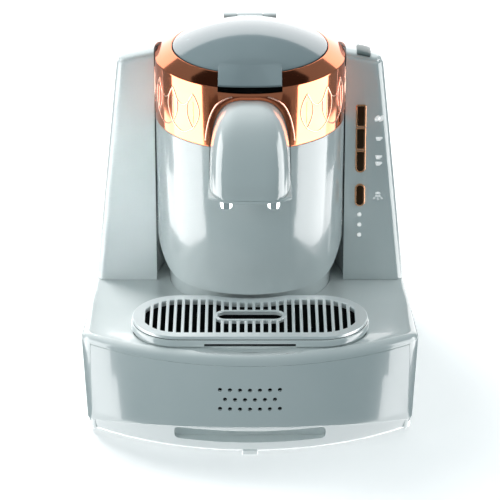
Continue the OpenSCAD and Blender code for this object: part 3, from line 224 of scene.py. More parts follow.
def set_inputs(node, **values):
    """Sets a node's inputs; an underscore stands for the space in an input's name."""
    for key, value in values.items():
        node.inputs[key.replace("_", " ")].default_value = value


def new_node(tree, kind, **values):
    node = tree.nodes.new(kind)
    set_inputs(node, **values)
    return node


def object_noise(tree, scale, detail=2.0, stretch=(1, 1, 1)):
    """Noise in the object's own coordinates, in metres."""
    coord = tree.nodes.new("ShaderNodeTexCoord")
    mapping = new_node(tree, "ShaderNodeMapping", Scale=stretch)
    noise = new_node(tree, "ShaderNodeTexNoise", Scale=scale, Detail=detail)
    tree.links.new(coord.outputs["Object"], mapping.inputs["Vector"])
    tree.links.new(mapping.outputs["Vector"], noise.inputs["Vector"])
    return noise.outputs["Fac"]


def to_range(tree, value, low, high):
    node = new_node(tree, "ShaderNodeMapRange", From_Min=0.3, From_Max=0.7, To_Min=low, To_Max=high)
    tree.links.new(value, node.inputs["Value"])
    return node.outputs["Result"]


def two_tones(tree, value, dark, light):
    ramp = tree.nodes.new("ShaderNodeValToRGB")
    ramp.color_ramp.elements[0].position = 0.35
    ramp.color_ramp.elements[1].position = 0.65
    ramp.color_ramp.elements[0].color = (*dark, 1)
    ramp.color_ramp.elements[1].color = (*light, 1)
    tree.links.new(value, ramp.inputs["Fac"])
    return ramp.outputs["Color"]


def bump(tree, shader, value, strength, distance):
    node = new_node(tree, "ShaderNodeBump", Strength=strength, Distance=distance)
    tree.links.new(value, node.inputs["Height"])
    tree.links.new(node.outputs["Normal"], shader.inputs["Normal"])


def surface(name, light, dark, rough, metallic=0.0, coat=0.0, grain=900.0, depth=0.00002,
            blotch=18.0, stretch=(1, 1, 1), ior=1.5, glow=0.0):
    """A moulded or plated surface: two near tones, roughness that wanders, and a fine grain."""
    mat, tree, shader = node_material(name)
    wide = object_noise(tree, blotch, 3.0)
    fine = object_noise(tree, grain, 2.0, stretch)
    tree.links.new(two_tones(tree, wide, dark, light), shader.inputs["Base Color"])
    tree.links.new(to_range(tree, wide, rough * 0.85, rough * 1.2), shader.inputs["Roughness"])
    set_inputs(shader, Metallic=metallic, Coat_Weight=coat, Coat_Roughness=0.03, IOR=ior,
               Emission_Color=(1, 1, 1, 1), Emission_Strength=glow)
    bump(tree, shader, fine, 0.25, depth)
    return mat


WHITE = surface("white_moulding", (0.84, 0.87, 0.865), (0.80, 0.84, 0.835), 0.16, coat=0.6,
                grain=420.0, depth=0.000008, ior=1.55)
# The white moulding made dark and teal for the lid: painted shade, so the lid stays dark under the lamps.
LID_PAINTED_SHADE = surface("lid_painted_shade", (0.20, 0.25, 0.265), (0.18, 0.23, 0.245), 0.14, coat=0.6,
              grain=420.0, depth=0.000008, ior=1.55)
COPPER = surface("copper_plating", (0.86, 0.28, 0.14), (0.82, 0.24, 0.12), 0.09, metallic=1.0,
                 grain=700.0, depth=0.00001)
TRIM = surface("copper_trim", (0.90, 0.48, 0.28), (0.82, 0.40, 0.22), 0.2, metallic=1.0)
CHROME = surface("chrome_plating", (0.88, 0.90, 0.90), (0.82, 0.85, 0.85), 0.08, metallic=1.0)
STEEL = surface("turned_steel", (0.62, 0.65, 0.65), (0.50, 0.54, 0.54), 0.28, metallic=1.0,
                grain=300.0, stretch=(1, 1, 14), depth=0.00003)
ALUMINIUM = surface("cast_aluminium", (0.72, 0.72, 0.73), (0.6, 0.6, 0.62), 0.42, metallic=1.0,
                    depth=0.00006)
PLATED = surface("satin_plating", (0.93, 0.95, 0.95), (0.89, 0.92, 0.92), 0.32, metallic=0.25,
                 coat=0.3)
BLACK = surface("black_moulding", (0.035, 0.036, 0.036), (0.022, 0.023, 0.023), 0.5,
                grain=1500.0, depth=0.00005)
GREY = surface("grey_moulding", (0.115, 0.15, 0.15), (0.095, 0.125, 0.125), 0.3, coat=0.2,
               grain=900.0)
RUBBER = surface("soft_rubber", (0.045, 0.045, 0.045), (0.03, 0.03, 0.03), 0.75, grain=1800.0,
                 depth=0.00006)
# Near-black brown on the button caps: painted reflection of the dark surroundings in copper-plated caps; the
# low IOR keeps it dark.
CAP_PAINTED_REFLECTION = surface("button_cap_painted_reflection", (0.045, 0.018, 0.003), (0.032, 0.012, 0.002), 0.4, ior=1.25)
# Near black for the tray's inside under the grille: painted shade, so the slots look deep and dark.
TRAY_PAINTED_SHADE = surface("tray_inside_painted_shade", (0.012, 0.013, 0.014), (0.008, 0.009, 0.010), 0.6, ior=1.25)
PIPE = surface("light_pipe", (0.9, 0.9, 0.88), (0.84, 0.84, 0.82), 0.25, coat=0.3, glow=0.5)
BOARD = surface("board_lacquer", (0.04, 0.2, 0.08), (0.025, 0.14, 0.05), 0.35, coat=0.3)
PRINT = surface("lit_symbol", (0.90, 0.92, 0.91), (0.86, 0.88, 0.87), 0.4, glow=0.45)
MOTIF = surface("copper_relief", (0.92, 0.56, 0.44), (0.86, 0.48, 0.36), 0.24, metallic=1.0)


def clear_plastic():
    mat, tree, shader = node_material("clear_plastic")
    wide = object_noise(tree, 14.0, 3.0)
    tone = two_tones(tree, wide, (0.80, 0.86, 0.88), (0.88, 0.92, 0.93))
    tree.links.new(tone, shader.inputs["Base Color"])
    tree.links.new(to_range(tree, wide, 0.05, 0.12), shader.inputs["Roughness"])
    set_inputs(shader, Transmission_Weight=0.75, IOR=1.45)
    bump(tree, shader, object_noise(tree, 120.0), 0.2, 0.00003)
    return mat


CLEAR = clear_plastic()

# The CAD nodes that stay as they are
NODE_MATERIALS = {
    WHITE: ["pedestal"],
    STEEL: ["brew_chamber", "hinge_pin", "pan_screws"],
    ALUMINIUM: ["heater_plate"],
    BLACK: ["chamber_collar", "thermostat", "buzzer", "cable_gland", "tank_dock", "spout_manifold",
            "lid_liner"],
    GREY: ["tank_valve", "water_pump"],
    RUBBER: ["lid_seal", "dock_seal", "pump_mounts", "inlet_hose", "outlet_hose"],
    PIPE: ["light_pipes"],
    BOARD: ["control_board", "power_board"],
}


def dress_nodes():
    """Gives every carried-over CAD node its material."""
    for mat, names in NODE_MATERIALS.items():
        for name in names:
            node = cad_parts[name]
            for obj in node if isinstance(node, list) else [node]:
                paint(obj, mat)


# ---------------------------------------------------------------- mesh helpers


def link(name, data):
    """A new object in the scene, from a mesh, a curve, a light or a camera."""
    obj = bpy.data.objects.new(name, data)
    bpy.context.scene.collection.objects.link(obj)
    return obj


def new_object(name, verts, faces, unit=MM):
    """A mesh object from points, in millimetres unless told."""
    mesh = bpy.data.meshes.new(name)
    mesh.from_pydata([tuple(c * unit for c in v) for v in verts], [], faces)
    mesh.validate()
    mesh.update()
    return link(name, mesh)


def loft(name, rings, wrap=False):
    """A solid through a stack of rings, or a closed tube of rings where it wraps."""
    n, m = len(rings[0]), len(rings)
    verts = [p for ring in rings for p in ring]
    faces = []
    for k in range(m if wrap else m - 1):
        a, b = k * n, ((k + 1) % m) * n
        for i in range(n):
            j = (i + 1) % n
            faces.append((a + i, a + j, b + j, b + i))
    if not wrap:
        faces.append(tuple(range(n - 1, -1, -1)))
        faces.append(tuple((m - 1) * n + i for i in range(n)))
    return new_object(name, verts, faces)


def lathe(name, profile, segments=160, centre_y=BARREL_Y, centre_x=0):
    """A closed profile of (r, z) turned about an upright axis, the barrel's unless told."""
    rings = [[(centre_x + r * cosd(a), centre_y + r * sind(a), z) for r, z in profile]
             for a in steps(0, 360, segments)[:-1]]
    return loft(name, rings, wrap=True)


def prism(name, outline, place, depth):
    """An outline of (u, v) swept by a depth; place maps (u, v, w) into the model."""
    return loft(name, [[place(u, v, w) for u, v in outline] for w in (0, depth)])


def upright(y):
    """Place for an outline in the XZ plane, swept backwards from y."""
    return lambda u, v, w: (u, y + w, v)


def flat(z):
    """Place for an outline in the XY plane, swept upwards from z."""
    return lambda u, v, w: (u, v, z + w)


def sideways(x):
    """Place for an outline in the YZ plane, swept to the right from x."""
    return lambda u, v, w: (x + w, u, v)


def bake(obj):
    """Applies every modifier of an object."""
    graph = bpy.context.evaluated_depsgraph_get()
    mesh = bpy.data.meshes.new_from_object(obj.evaluated_get(graph))
    obj.modifiers.clear()
    old = obj.data
    obj.data = mesh
    bpy.data.meshes.remove(old)
    return obj


def cut(obj, *cutters):
    """Cuts solids out of an object, which uses them up."""
    for cutter in cutters:
        outward(obj)
        outward(cutter)
        mod = obj.modifiers.new("cut", "BOOLEAN")
        mod.operation = "DIFFERENCE"
        mod.solver = "EXACT"
        mod.object = cutter
        bpy.context.view_layer.update()
        bake(obj)
        bpy.data.objects.remove(cutter)
    return obj


def outward(obj):
    """Makes a closed mesh's faces point outwards."""
    work = bmesh.new()
    work.from_mesh(obj.data)
    bmesh.ops.recalc_face_normals(work, faces=work.faces)
    work.to_mesh(obj.data)
    work.free()


def round_edges(obj, width, angle):
    """Rounds the edges that are sharper than an angle in degrees."""
    mod = obj.modifiers.new("round", "BEVEL")
    mod.width = width * MM
    mod.segments = 3
    mod.limit_method = "ANGLE"
    mod.angle_limit = math.radians(angle)
    return bake(obj)


def smooth(mesh, sharp_from=None):
    """Smooth shading, with sharp edges from an angle in degrees where one is given."""
    mesh.polygons.foreach_set("use_smooth", [True] * len(mesh.polygons))
    if sharp_from is not None:
        mesh.set_sharp_from_angle(angle=math.radians(sharp_from))


def soften(obj, width=0, angle=40):
    """Small rounds on the sharp edges where a width is given, then smooth shading."""
    outward(obj)
    if width > 0:
        round_edges(obj, width, angle)
    smooth(obj.data, angle - 8)
    return obj


def curve_mesh(name, curve):
    """The mesh of a curve."""
    obj = link(name, curve)
    graph = bpy.context.evaluated_depsgraph_get()
    mesh = bpy.data.meshes.new_from_object(obj.evaluated_get(graph))
    bpy.data.objects.remove(obj)
    return mesh


def plate(name, outlines, place, thickness, bevel, resolution=2):
    """A flat plate with holes: 2-D outlines, the first one outside, with bevelled edges."""
    curve = bpy.data.curves.new(name, "CURVE")
    curve.dimensions = "2D"
    curve.fill_mode = "BOTH"
    curve.extrude = (thickness / 2 - bevel) * MM
    curve.bevel_depth = bevel * MM
    curve.bevel_resolution = resolution
    curve.offset = -bevel * MM
    for outline in outlines:
        spline = curve.splines.new("POLY")
        spline.points.add(len(outline) - 1)
        for point, (u, v) in zip(spline.points, outline):
            point.co = (u * MM, v * MM, 0, 1)
        spline.use_cyclic_u = True
    mesh = curve_mesh(name, curve)
    for vert in mesh.vertices:
        u, v, w = vert.co / MM
        vert.co = Vector(place(u, v, w + thickness / 2)) * MM
    smooth(mesh, 32)
    return link(name, mesh)


def join(pieces):
    """One object from several solids of one piece, each left closed."""
    work = bmesh.new()
    for piece in pieces:
        work.from_mesh(piece.data)
    work.to_mesh(pieces[0].data)
    work.free()
    for piece in pieces[1:]:
        bpy.data.objects.remove(piece)
    return pieces[0]


def paint(obj, material):
    obj.data.materials.clear()
    obj.data.materials.append(material)


def dress(obj, material, *nodes, body="machine"):
    """Rides a piece on its body, gives it its material and hides the CAD nodes it stands for."""
    paint(obj, material)
    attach(obj, body)
    if nodes:
        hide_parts(*nodes)
    return obj


def dress_all(pieces, material, *nodes, body="machine"):
    """Dresses several pieces and hides the nodes with the first of them."""
    for i, piece in enumerate(pieces):
        dress(piece, material, *(nodes if i == 0 else ()), body=body)


# ---------------------------------------------------------------- base


def corner_centre():
    return (BASE_W / 2 - CORNER_R, ARC_Y - (FRONT_R - CORNER_R) * cosd(CORNER_A))


def base_ring(front_n=40, corner_n=14, side_n=16, rear_n=14):
    """Outline of the base, counter-clockwise from the front middle."""
    n = (cosd(SIDE_LEAN), sind(SIDE_LEAN))
    cc = corner_centre()
    start = (cc[0] + (CORNER_R - REAR_CORNER_R) * n[0], cc[1] + (CORNER_R - REAR_CORNER_R) * n[1])
    length = (REAR_Y - REAR_CORNER_R - start[1]) / cosd(SIDE_LEAN)
    rc = (start[0] - length * sind(SIDE_LEAN), REAR_Y - REAR_CORNER_R)
    p = (cc[0] + CORNER_R * n[0], cc[1] + CORNER_R * n[1])
    q = (rc[0] + REAR_CORNER_R * n[0], rc[1] + REAR_CORNER_R * n[1])
    half = (
        arc((0, ARC_Y), FRONT_R, -90, -90 + CORNER_A, front_n)
        + arc(cc, CORNER_R, -90 + CORNER_A, SIDE_LEAN, corner_n, 1)
        + run(p, q, n, side_n)
        + arc(rc, REAR_CORNER_R, SIDE_LEAN, 90, rear_n)
        + [(rc[0] * t, REAR_Y, 0, 1) for t in (0.75, 0.5, 0.25, 0)]
    )
    return both_sides(half)


def deck_at(y):
    return DECK_Z + max(0, FACE_Y - y) * tand(DECK_RISE)


def roll_at(y):
    return max(1, deck_at(y) - SEAM_Z)


def roll_in(y, t):
    return 1 if t > 0 else min(roll_at(y) + 1, ROLL_W)


def to_stadium(p, r):
    """The nearest point of the tray's stadium, grown to radius r."""
    c = Vector((clamp(p[0], -GRILLE_A, GRILLE_A), TRAY_Y))
    d = (Vector(p[:2]) - c).normalized()
    return c + d * r


def inset_ring(outline, s, z):
    """A level ring of an outline, drawn in by s."""
    return [(x - s * nx, y - s * ny, z) for x, y, nx, ny in outline]


def deck_skin(t, outline, roll_n, shares, rim_n):
    """Rings of the deck's skin, from its foot up over the roll and down into the well."""
    rings = [inset_ring(outline, BASE_DRAFT + t, PAN_RIM_Z), inset_ring(outline, 0.25 + t, SEAM_Z - 8)]
    for a in steps(0, 90, roll_n):
        ring = []
        for x, y, nx, ny in outline:
            s = t + roll_in(y, t) * (1 - cosd(a))
            z = deck_at(y) - roll_at(y) - t + roll_at(y) * sind(a)
            ring.append((x - s * nx, y - s * ny, z))
        rings.append(ring)
    grown = WELL_R + max(t, RIM_ROUND)
    for f in shares:
        ring = []
        for x, y, nx, ny in outline:
            s = t + roll_in(y, t)
            q = Vector((x - s * nx, y - s * ny))
            u = q.lerp(to_stadium(q, grown), f)
            hollow = DISH * sind(180 * f ** 0.7) * clamp((FACE_Y - u[1]) / 40, 0, 1)
            ring.append((u[0], u[1], deck_at(u[1]) - t - hollow))
        rings.append(ring)
    for a in steps(0, 90, rim_n)[1:]:
        r = WELL_R + t + (0 if t > 0 else RIM_ROUND * (1 - sind(a)))
        ring = []
        for x, y, nx, ny in outline:
            w = to_stadium((x - t * nx, y - t * ny), r)
            ring.append((w[0], w[1], deck_at(w[1]) - t - 1.2 * (1 - cosd(a))))
        rings.append(ring)
    rings.append([(*to_stadium((x - t * nx, y - t * ny), WELL_R + t), WELL_Z - t)
                  for x, y, nx, ny in outline])
    return rings


def sector(name, r_out, width, z, h, a, n=80):
    """A solid of a bowed wall between two radii from the front arc's centre."""
    r_in = r_out - width
    rings = []
    for t in steps(-90 - a, -90 + a, n):
        rings.append([(r * cosd(t), ARC_Y + r * sind(t), w)
                      for r, w in ((r_in, z), (r_out, z), (r_out, z + h), (r_in, z + h))])
    return loft(name, rings)


def cylinder(name, r, h, x, y, z, n=96):
    return prism(name, circle(r, n, x, y), flat(z), h)


def box_solid(name, x0, x1, y0, y1, z0, z1):
    return prism(name, rect(x0, x1, y0, y1), flat(z0), z1 - z0)


def deck_scoop():
    """A ring-shaped cutter whose lowest part presses a shallow scoop in front of the tray."""
    r, bow = 12, 240
    low = deck_at(FRONT_Y) - DISH - 1.8
    y = TRAY_Y - TRAY_LIP_R - 3.5
    rings = []
    for a in steps(-15, 15, 60):
        rings.append([((bow + r * cosd(t)) * sind(a), y + r * sind(t),
                       low + r + bow - (bow + r * cosd(t)) * cosd(a)) for t in steps(0, 354, 59)])
    return loft("scoop_cut", rings)


def make_deck():
    """The deck's closed skin, cut for the panel, the scoop, the pedestal and the rear's ways."""
    outline = base_ring()
    shares = [0.04, 0.09, 0.15, 0.22, 0.3, 0.38, 0.46, 0.55, 0.64, 0.72, 0.8, 0.87, 0.93, 0.98]
    outer = deck_skin(0, outline, 12, shares, 3)
    inner = deck_skin(WALL, outline, 3, [0.12, 0.35, 0.7, 0.95], 1)
    deck = loft("deck_moulding", inner[::-1] + outer)
    low, beyond = DECK_Z - 10, 10
    cut(deck,
        sector("front_cut", FRONT_R + beyond, beyond + BASE_DRAFT + WALL + 3, -10, SEAM_Z + 10, CORNER_A),
        deck_scoop(),
        cylinder("well_cut", PEDESTAL_D / 2 + SLIP, 30, 0, BARREL_Y + 6, low),
        cylinder("dock_cut", DOCK_R + SEAT, 20, 0, DOCK_Y, low),
        *[box_solid("way_cut", x - 8, x + 8, FACE_Y + 14, FACE_Y + 44, low, DECK_Z + 10)
          for x in (-WAY_X, WAY_X)],
        prism("gland_cut", circle(GLAND_R, 32, GLAND_X, GLAND_Z), upright(REAR_Y - 10), 20))
    dress(soften(deck), WHITE, "deck_shell")


def arch_sag(x):
    """How far the arch between the panel and the skirt lies below its middle."""
    half = corner_centre()[0] + CORNER_R * sind(CORNER_A)
    big = (half * half + ARCH_DROP * ARCH_DROP) / (2 * ARCH_DROP)
    return big - math.sqrt(big * big - x * x)


def on_front_arc(section, t):
    """A section of (r, z), stood on the front arc at t degrees from the middle."""
    return [(r * sind(t), ARC_Y - r * cosd(t), z) for r, z in section]


def make_front_panel():
    """The bowed panel: an arched lower edge, rounded edges and three rows of sound holes."""
    top = SEAM_Z - SEAT
    rings = []
    for t in steps(-CORNER_A + 0.1, CORNER_A - 0.1, 96):
        low = ARCH_Z - arch_sag(FRONT_R * sind(t))
        section = fillet(rect(FRONT_R - WALL, FRONT_R, low, top), [0, 0.6, 0.5, 0], 4)
        rings.append(on_front_arc(section, t))
    panel = loft("front_moulding", rings)
    for row, count in ((-1, 7), (0, 6), (1, 7)):
        for i in range(count):
            x = (i - (count - 1) / 2) * HOLE_PITCH
            hole = circle(HOLE_D / 2, 24, x, HOLE_Z + row * HOLE_ROW)
            cut(panel, prism("hole", hole, upright(FRONT_Y - 2), 8))
    dress(soften(panel), WHITE, "front_panel")


def make_pan():
    """The bottom pan with its bowed skirt, the finger recess, the tab under it and the feet."""
    inset = BASE_DRAFT + SEAT + 1
    outline = base_ring()
    floor = loft("pan_floor", [inset_ring(outline, s, z) for s, z in (
        (inset, PAN_Z), (inset, PAN_RIM_Z), (inset + WALL, PAN_RIM_Z), (inset + WALL, PAN_Z + WALL))])
    cut(floor, sector("skirt_room", FRONT_R + 5, 5 + SKIRT_D, 0, PAN_RIM_Z + 1, CORNER_A))

    slope = (SKIRT_SLOPE - 0.8) / (ARCH_Z + 1 - PAN_Z - 1.5)
    back = FRONT_R - SKIRT_D - 1
    rings = []
    for t in steps(-CORNER_A, CORNER_A, 120):
        top = ARCH_Z - SEAT - arch_sag(FRONT_R * sind(t))
        reach = FRONT_R - SKIRT_SLOPE + (top - PAN_Z - 1.5) * slope
        section = fillet([(back, PAN_Z), (FRONT_R - SKIRT_SLOPE - 1, PAN_Z),
                          (FRONT_R - SKIRT_SLOPE, PAN_Z + 1.5), (reach, top), (back, top)],
                         [0, 0.6, 1.0, 0.3, 0], 4)
        rings.append(on_front_arc(section, t))
    skirt = loft("pan_skirt", rings)
    middle = PAN_Z + 8 + RECESS_H / 2
    pocket = round_outline(RECESS_W, RECESS_H, 3.2, 3.2, 8)
    walls = [[(u, ARC_Y - math.sqrt(r * r - u * u), middle + v) for u, v in pocket]
             for r in (FRONT_R + 5, FRONT_R - RECESS_D)]
    cut(skirt, loft("pocket_cut", walls))

    half, tab_y = TAB_W / 2, FRONT_Y + SKIRT_SLOPE
    tab_plan = fillet(rect(-half, half, tab_y, tab_y + 5), [1.2, 1.2, 0, 0], 4)
    tab = prism("pan_tab", tab_plan, flat(PAN_Z - 3), 4)
    dress_all([soften(floor, 0.3), soften(skirt, 0.5), soften(tab, 0.3)], WHITE, "base_pan")

    profile = fillet([(0.02, 0), (FOOT_R - 1, 0), (FOOT_R, 1.2), (FOOT_R, PAN_Z), (4, PAN_Z),
                      (4, PAN_Z + WALL), (0.02, PAN_Z + WALL)], [0, 0.8, 0.8, 0.3, 0, 0.3, 0], 3)
    feet = []
    for x, y in ((BASE_W / 2 - 35, FRONT_Y + 62), (BASE_W / 2 - 39, REAR_Y - 28)):
        for s in (1, -1):
            feet.append(soften(lathe(f"foot_{len(feet) + 1}", profile, 48, y, s * x)))
    dress_all(feet, RUBBER, "rubber_feet")


def make_hinge():
    """The bracket behind the lid: a foot on the barrel's neck and two rounded ears on a pin."""
    foot = COLLAR_Z + SEAT
    side_view = [(HINGE_Y - EAR_R, foot), (HINGE_Y + EAR_R, foot)]
    side_view += [(HINGE_Y + EAR_R * cosd(a), HINGE_Z + EAR_R * sind(a)) for a in steps(0, 180, 18)]
    ears = [soften(prism(f"hinge_ear_{side}", side_view, sideways(x), EAR_W), 0.4)
            for x, side in ((-EAR_X - EAR_W, "left"), (EAR_X, "right"))]
    dress_all(ears, WHITE, "hinge_bracket")
    r, spread = BAND_R - 0.4, 16.5
    plan = [(r * cosd(a), BARREL_Y + r * sind(a)) for a in steps(90 - spread, 90 + spread, 24)]
    x1, y1 = plan[0][0], BARREL_Y + 54
    plan += [(-x1, y1), (x1, y1)]
    dress(soften(prism("hinge_foot", plan, flat(foot), 4), 0.4), WHITE)


# ---------------------------------------------------------------- tray and grille


def dented(a, r, inset, n=24):
    """A stadium round the tray's middle, dented where the barrel stands over its rear."""
    gap = BARREL_R + DENT_GAP + inset
    dense = []
    outline = stadium(a, r, n)
    for i, p in enumerate(outline):
        q = outline[(i + 1) % len(outline)]
        parts = max(1, int((Vector(q) - Vector(p)).length / 2))
        dense += [tuple(Vector(p).lerp(Vector(q), k / parts)) for k in range(parts)]
    out = []
    for u, v in dense:
        d = Vector((u, v - TRAY_REACH))
        if d.length < gap and abs(u) < gap:
            v = TRAY_REACH - math.sqrt(gap * gap - u * u)
        out.append((u, v))
    return out


def slot_outlines():
    """The grille's slots, ending on its border and round the raised ring in the middle."""
    slot_r, boss_r, boss_a = GRILLE_R - GRILLE_BORDER, RING_R, RING_A
    count = int((GRILLE_W / 2 - GRILLE_BORDER) / SLOT_PITCH - 0.2)
    gap = BARREL_R + DENT_GAP + GRILLE_BORDER

    def edge(u, a, r):
        over = max(0, abs(u) - a)
        return math.sqrt(max(0, r * r - over * over))

    slots = []
    for i in range(-count, count + 1):
        x0, x1 = i * SLOT_PITCH - SLOT_W / 2, i * SLOT_PITCH + SLOT_W / 2
        lows = [-edge(x, GRILLE_A, slot_r) for x in (x0, x1)]
        tops = []
        for x in (x0, x1):
            top = edge(x, GRILLE_A, slot_r)
            if abs(x) < gap:
                top = min(top, TRAY_REACH - math.sqrt(gap * gap - x * x))
            tops.append(top)
        near = max(abs(x0), abs(x1)) < boss_a + boss_r
        if near:
            ring = [edge(x, boss_a, boss_r) for x in (x0, x1)]
            slots.append([(x0, lows[0]), (x1, lows[1]), (x1, -ring[1]), (x0, -ring[0])])
            slots.append([(x0, ring[0]), (x1, ring[1]), (x1, tops[1]), (x0, tops[0])])
        elif min(abs(x0), abs(x1)) < boss_a + boss_r:
            inner = boss_a + boss_r + 0.2
            a, b = (max(x0, inner), x1) if i > 0 else (x0, min(x1, -inner))
            slots.append([(a, lows[0]), (b, lows[1]), (b, tops[1]), (a, tops[0])])
        else:
            slots.append([(x0, lows[0]), (x1, lows[1]), (x1, tops[1]), (x0, tops[0])])
    return [fillet(s, [0.5] * 4, 3) for s in slots]


def tray_place(z):
    return lambda u, v, w: (u, TRAY_Y + v, z + w)


def make_grille():
    """The grille's plate, the rib under its border and the raised ring in its middle."""
    hole = stadium(RING_A, RING_HOLE_R, 16)
    outlines = [dented(GRILLE_A, GRILLE_R, 0)] + slot_outlines() + [hole]
    top = plate("grille_plate", outlines, tray_place(GRILLE_Z - GRILLE_T), GRILLE_T, 0.45, 3)
    rib_r, rib_w, inset = TRAY_R - TRAY_WALL - SLIP, 1.6, TRAY_WALL + SLIP
    rib_edges = [dented(GRILLE_A, rib_r, inset), dented(GRILLE_A, rib_r - rib_w, inset + rib_w)]
    rib = plate("grille_rib", rib_edges, tray_place(GRILLE_Z - GRILLE_T - 3), 3.2, 0.2)
    ring = plate("grille_ring", [stadium(RING_A, RING_R, 16), hole], tray_place(GRILLE_Z - 1.2),
                 1.8, 0.55, 3)
    dress_all([top, rib, ring], PLATED, "drip_grille", body="grille")


def make_tray():
    """The tray: a tub with a rounded flange, cut under its lip for the fingers."""
    floor_z = WELL_Z + SLIP
    flange_z = TRAY_TOP - 5
    rows = [
        (TRAY_R - 2, floor_z, 0), (TRAY_R, floor_z + 2, 0), (TRAY_R, flange_z, 0),
        (TRAY_LIP_R - 0.4, flange_z, 0), (TRAY_LIP_R, flange_z + 0.5, 0),
        (TRAY_LIP_R, TRAY_TOP - 1.2, 0), (TRAY_LIP_R - 0.4, TRAY_TOP - 0.4, 0),
        (TRAY_LIP_R - 1.2, TRAY_TOP, 0),
        (TRAY_R - TRAY_WALL, TRAY_TOP, TRAY_WALL),
        (TRAY_R - TRAY_WALL, floor_z + TRAY_WALL + 1.5, TRAY_WALL),
        (TRAY_R - TRAY_WALL - 1.5, floor_z + TRAY_WALL, TRAY_WALL + 1.5),
    ]
    rings = [[(u, TRAY_Y + v, z) for u, v in dented(GRILLE_A, r, inset)] for r, z, inset in rows]
    tray = loft("tray_tub", rings)
    cut(tray, box_solid("lip_cut", -33, 33, TRAY_Y - TRAY_LIP_R - 0.5, TRAY_Y - TRAY_LIP_R + 3,
                        flange_z - 0.5, flange_z + 2.5))
    dress(soften(tray, 0.25), WHITE, "drip_tray", body="tray")
    # The faces inside the tray, under the grille, take the near-black painted shade.
    tray.data.materials.append(TRAY_PAINTED_SHADE)
    inner = TRAY_LIP_R - 2.4
    for face in tray.data.polygons:
        x, y, z = face.center / MM
        off = math.hypot(max(0, abs(x) - GRILLE_A), y - TRAY_Y)
        if off < inner and z > floor_z + 1:
            face.material_index = 1


# ---------------------------------------------------------------- barrel and band


def under_rim():
    """Side view of everything below the barrel's swept lower rim, as (y, z)."""
    sweep_r, sweep_a = 41, 38
    start = BARREL_Y - BARREL_R + 14
    curve = [(start + sweep_r * sind(a), RIM_Z + sweep_r * (1 - cosd(a))) for a in steps(0, sweep_a, 18)]
    turn = (start + sweep_r * sind(sweep_a), RIM_Z + sweep_r * (1 - cosd(sweep_a)))
    stop = (BARREL_Y - 2, turn[1] + (BARREL_Y - 2 - turn[0]) * tand(sweep_a))
    far = BARREL_Y + 160
    return [(start - 40, 0), (start - 40, RIM_Z)] + curve + [stop, (far, stop[1]), (far, 0)]


def cover_half(s):
    return SPOUT_W / 2 * (1 - (1 - s) ** 3) ** (1 / 3)


def cover_front(s):
    return SPOUT_ROOT - SPOUT_REACH * (1 - (1 - s) ** 2.2) ** (1 / 2.2)


def cover_view(g, foot):
    """Front view of the spout cover as (x, z), grown by g."""
    half = []
    for k in range(41):
        s = (k / 40) ** 1.8
        half.append((cover_half(s) + g * min(1, 4 * s + 0.5),
                     SPOUT_Z + SPOUT_H * (1 - s) + g * (1 - s)))
    edge = SPOUT_W / 2 + g
    return half + [(edge, foot), (-edge, foot)] + [(-x, z) for x, z in half[::-1]]


def cover_cutter():
    """A cutter for the spout cover's room in the barrel, the neck and the band."""
    view = cover_view(SLIP, SPOUT_Z - PLATE_T - 2 * SEAT)
    return prism("cover_cut", view, upright(SPOUT_ROOT - 2), 26)


def make_barrel():
    """The barrel with its swept lower rim, and the neck inside the band."""
    profile = fillet(rect(BARREL_R - BARREL_WALL, BARREL_R, 60, BAND_Z - SEAT), [0, 0, 0.5, 0], 4)
    barrel = lathe("barrel_moulding", profile, 256)
    cut(barrel, prism("under", under_rim(), sideways(-100), 200), cover_cutter())
    r_out, r_in, low = BAND_R - BAND_T - SEAT, BARREL_R - 5, BAND_Z - 4
    neck = lathe("barrel_neck", [(r_out, low), (r_out, COLLAR_Z), (r_in, COLLAR_Z), (r_in, low)], 128)
    cut(neck, cover_cutter())
    dress_all([soften(barrel, 0.5), soften(neck)], WHITE, "barrel_shell")


def make_band():
    """The copper band with its bevelled top, open for the lid's tab, the hinge and the spout."""
    profile = fillet(
        [(BAND_R - BAND_T, BAND_Z), (BAND_R, BAND_Z), (BAND_R, BAND_TOP), (MOUTH_R, MOUTH_Z),
         (MOUTH_R, MOUTH_Z - 3), (BAND_R - BAND_T, BAND_TOP - 2)],
        [0, 0.6, 1.0, 0.8, 0, 0], 5)
    band = lathe("band_metal", profile, 256)
    tab, hinge = LID_TAB_W / 2 + SEAT, EAR_X + EAR_W + SEAT
    front, tab_z = BARREL_Y - BAND_R, COLLAR_Z + 4.6
    cut(band,
        box_solid("tab_cut", -tab, tab, front - 2, front + 22, tab_z, tab_z + 30),
        box_solid("hinge_cut", -hinge, hinge, BARREL_Y + 40, BARREL_Y + 80, COLLAR_Z - 2, COLLAR_Z + 28),
        cover_cutter())
    dress(soften(band, 0.25), COPPER, "copper_band")


# ---------------------------------------------------------------- lid


def dome_radius():
    return (LID_R * LID_R + DOME_H * DOME_H) / (2 * DOME_H)


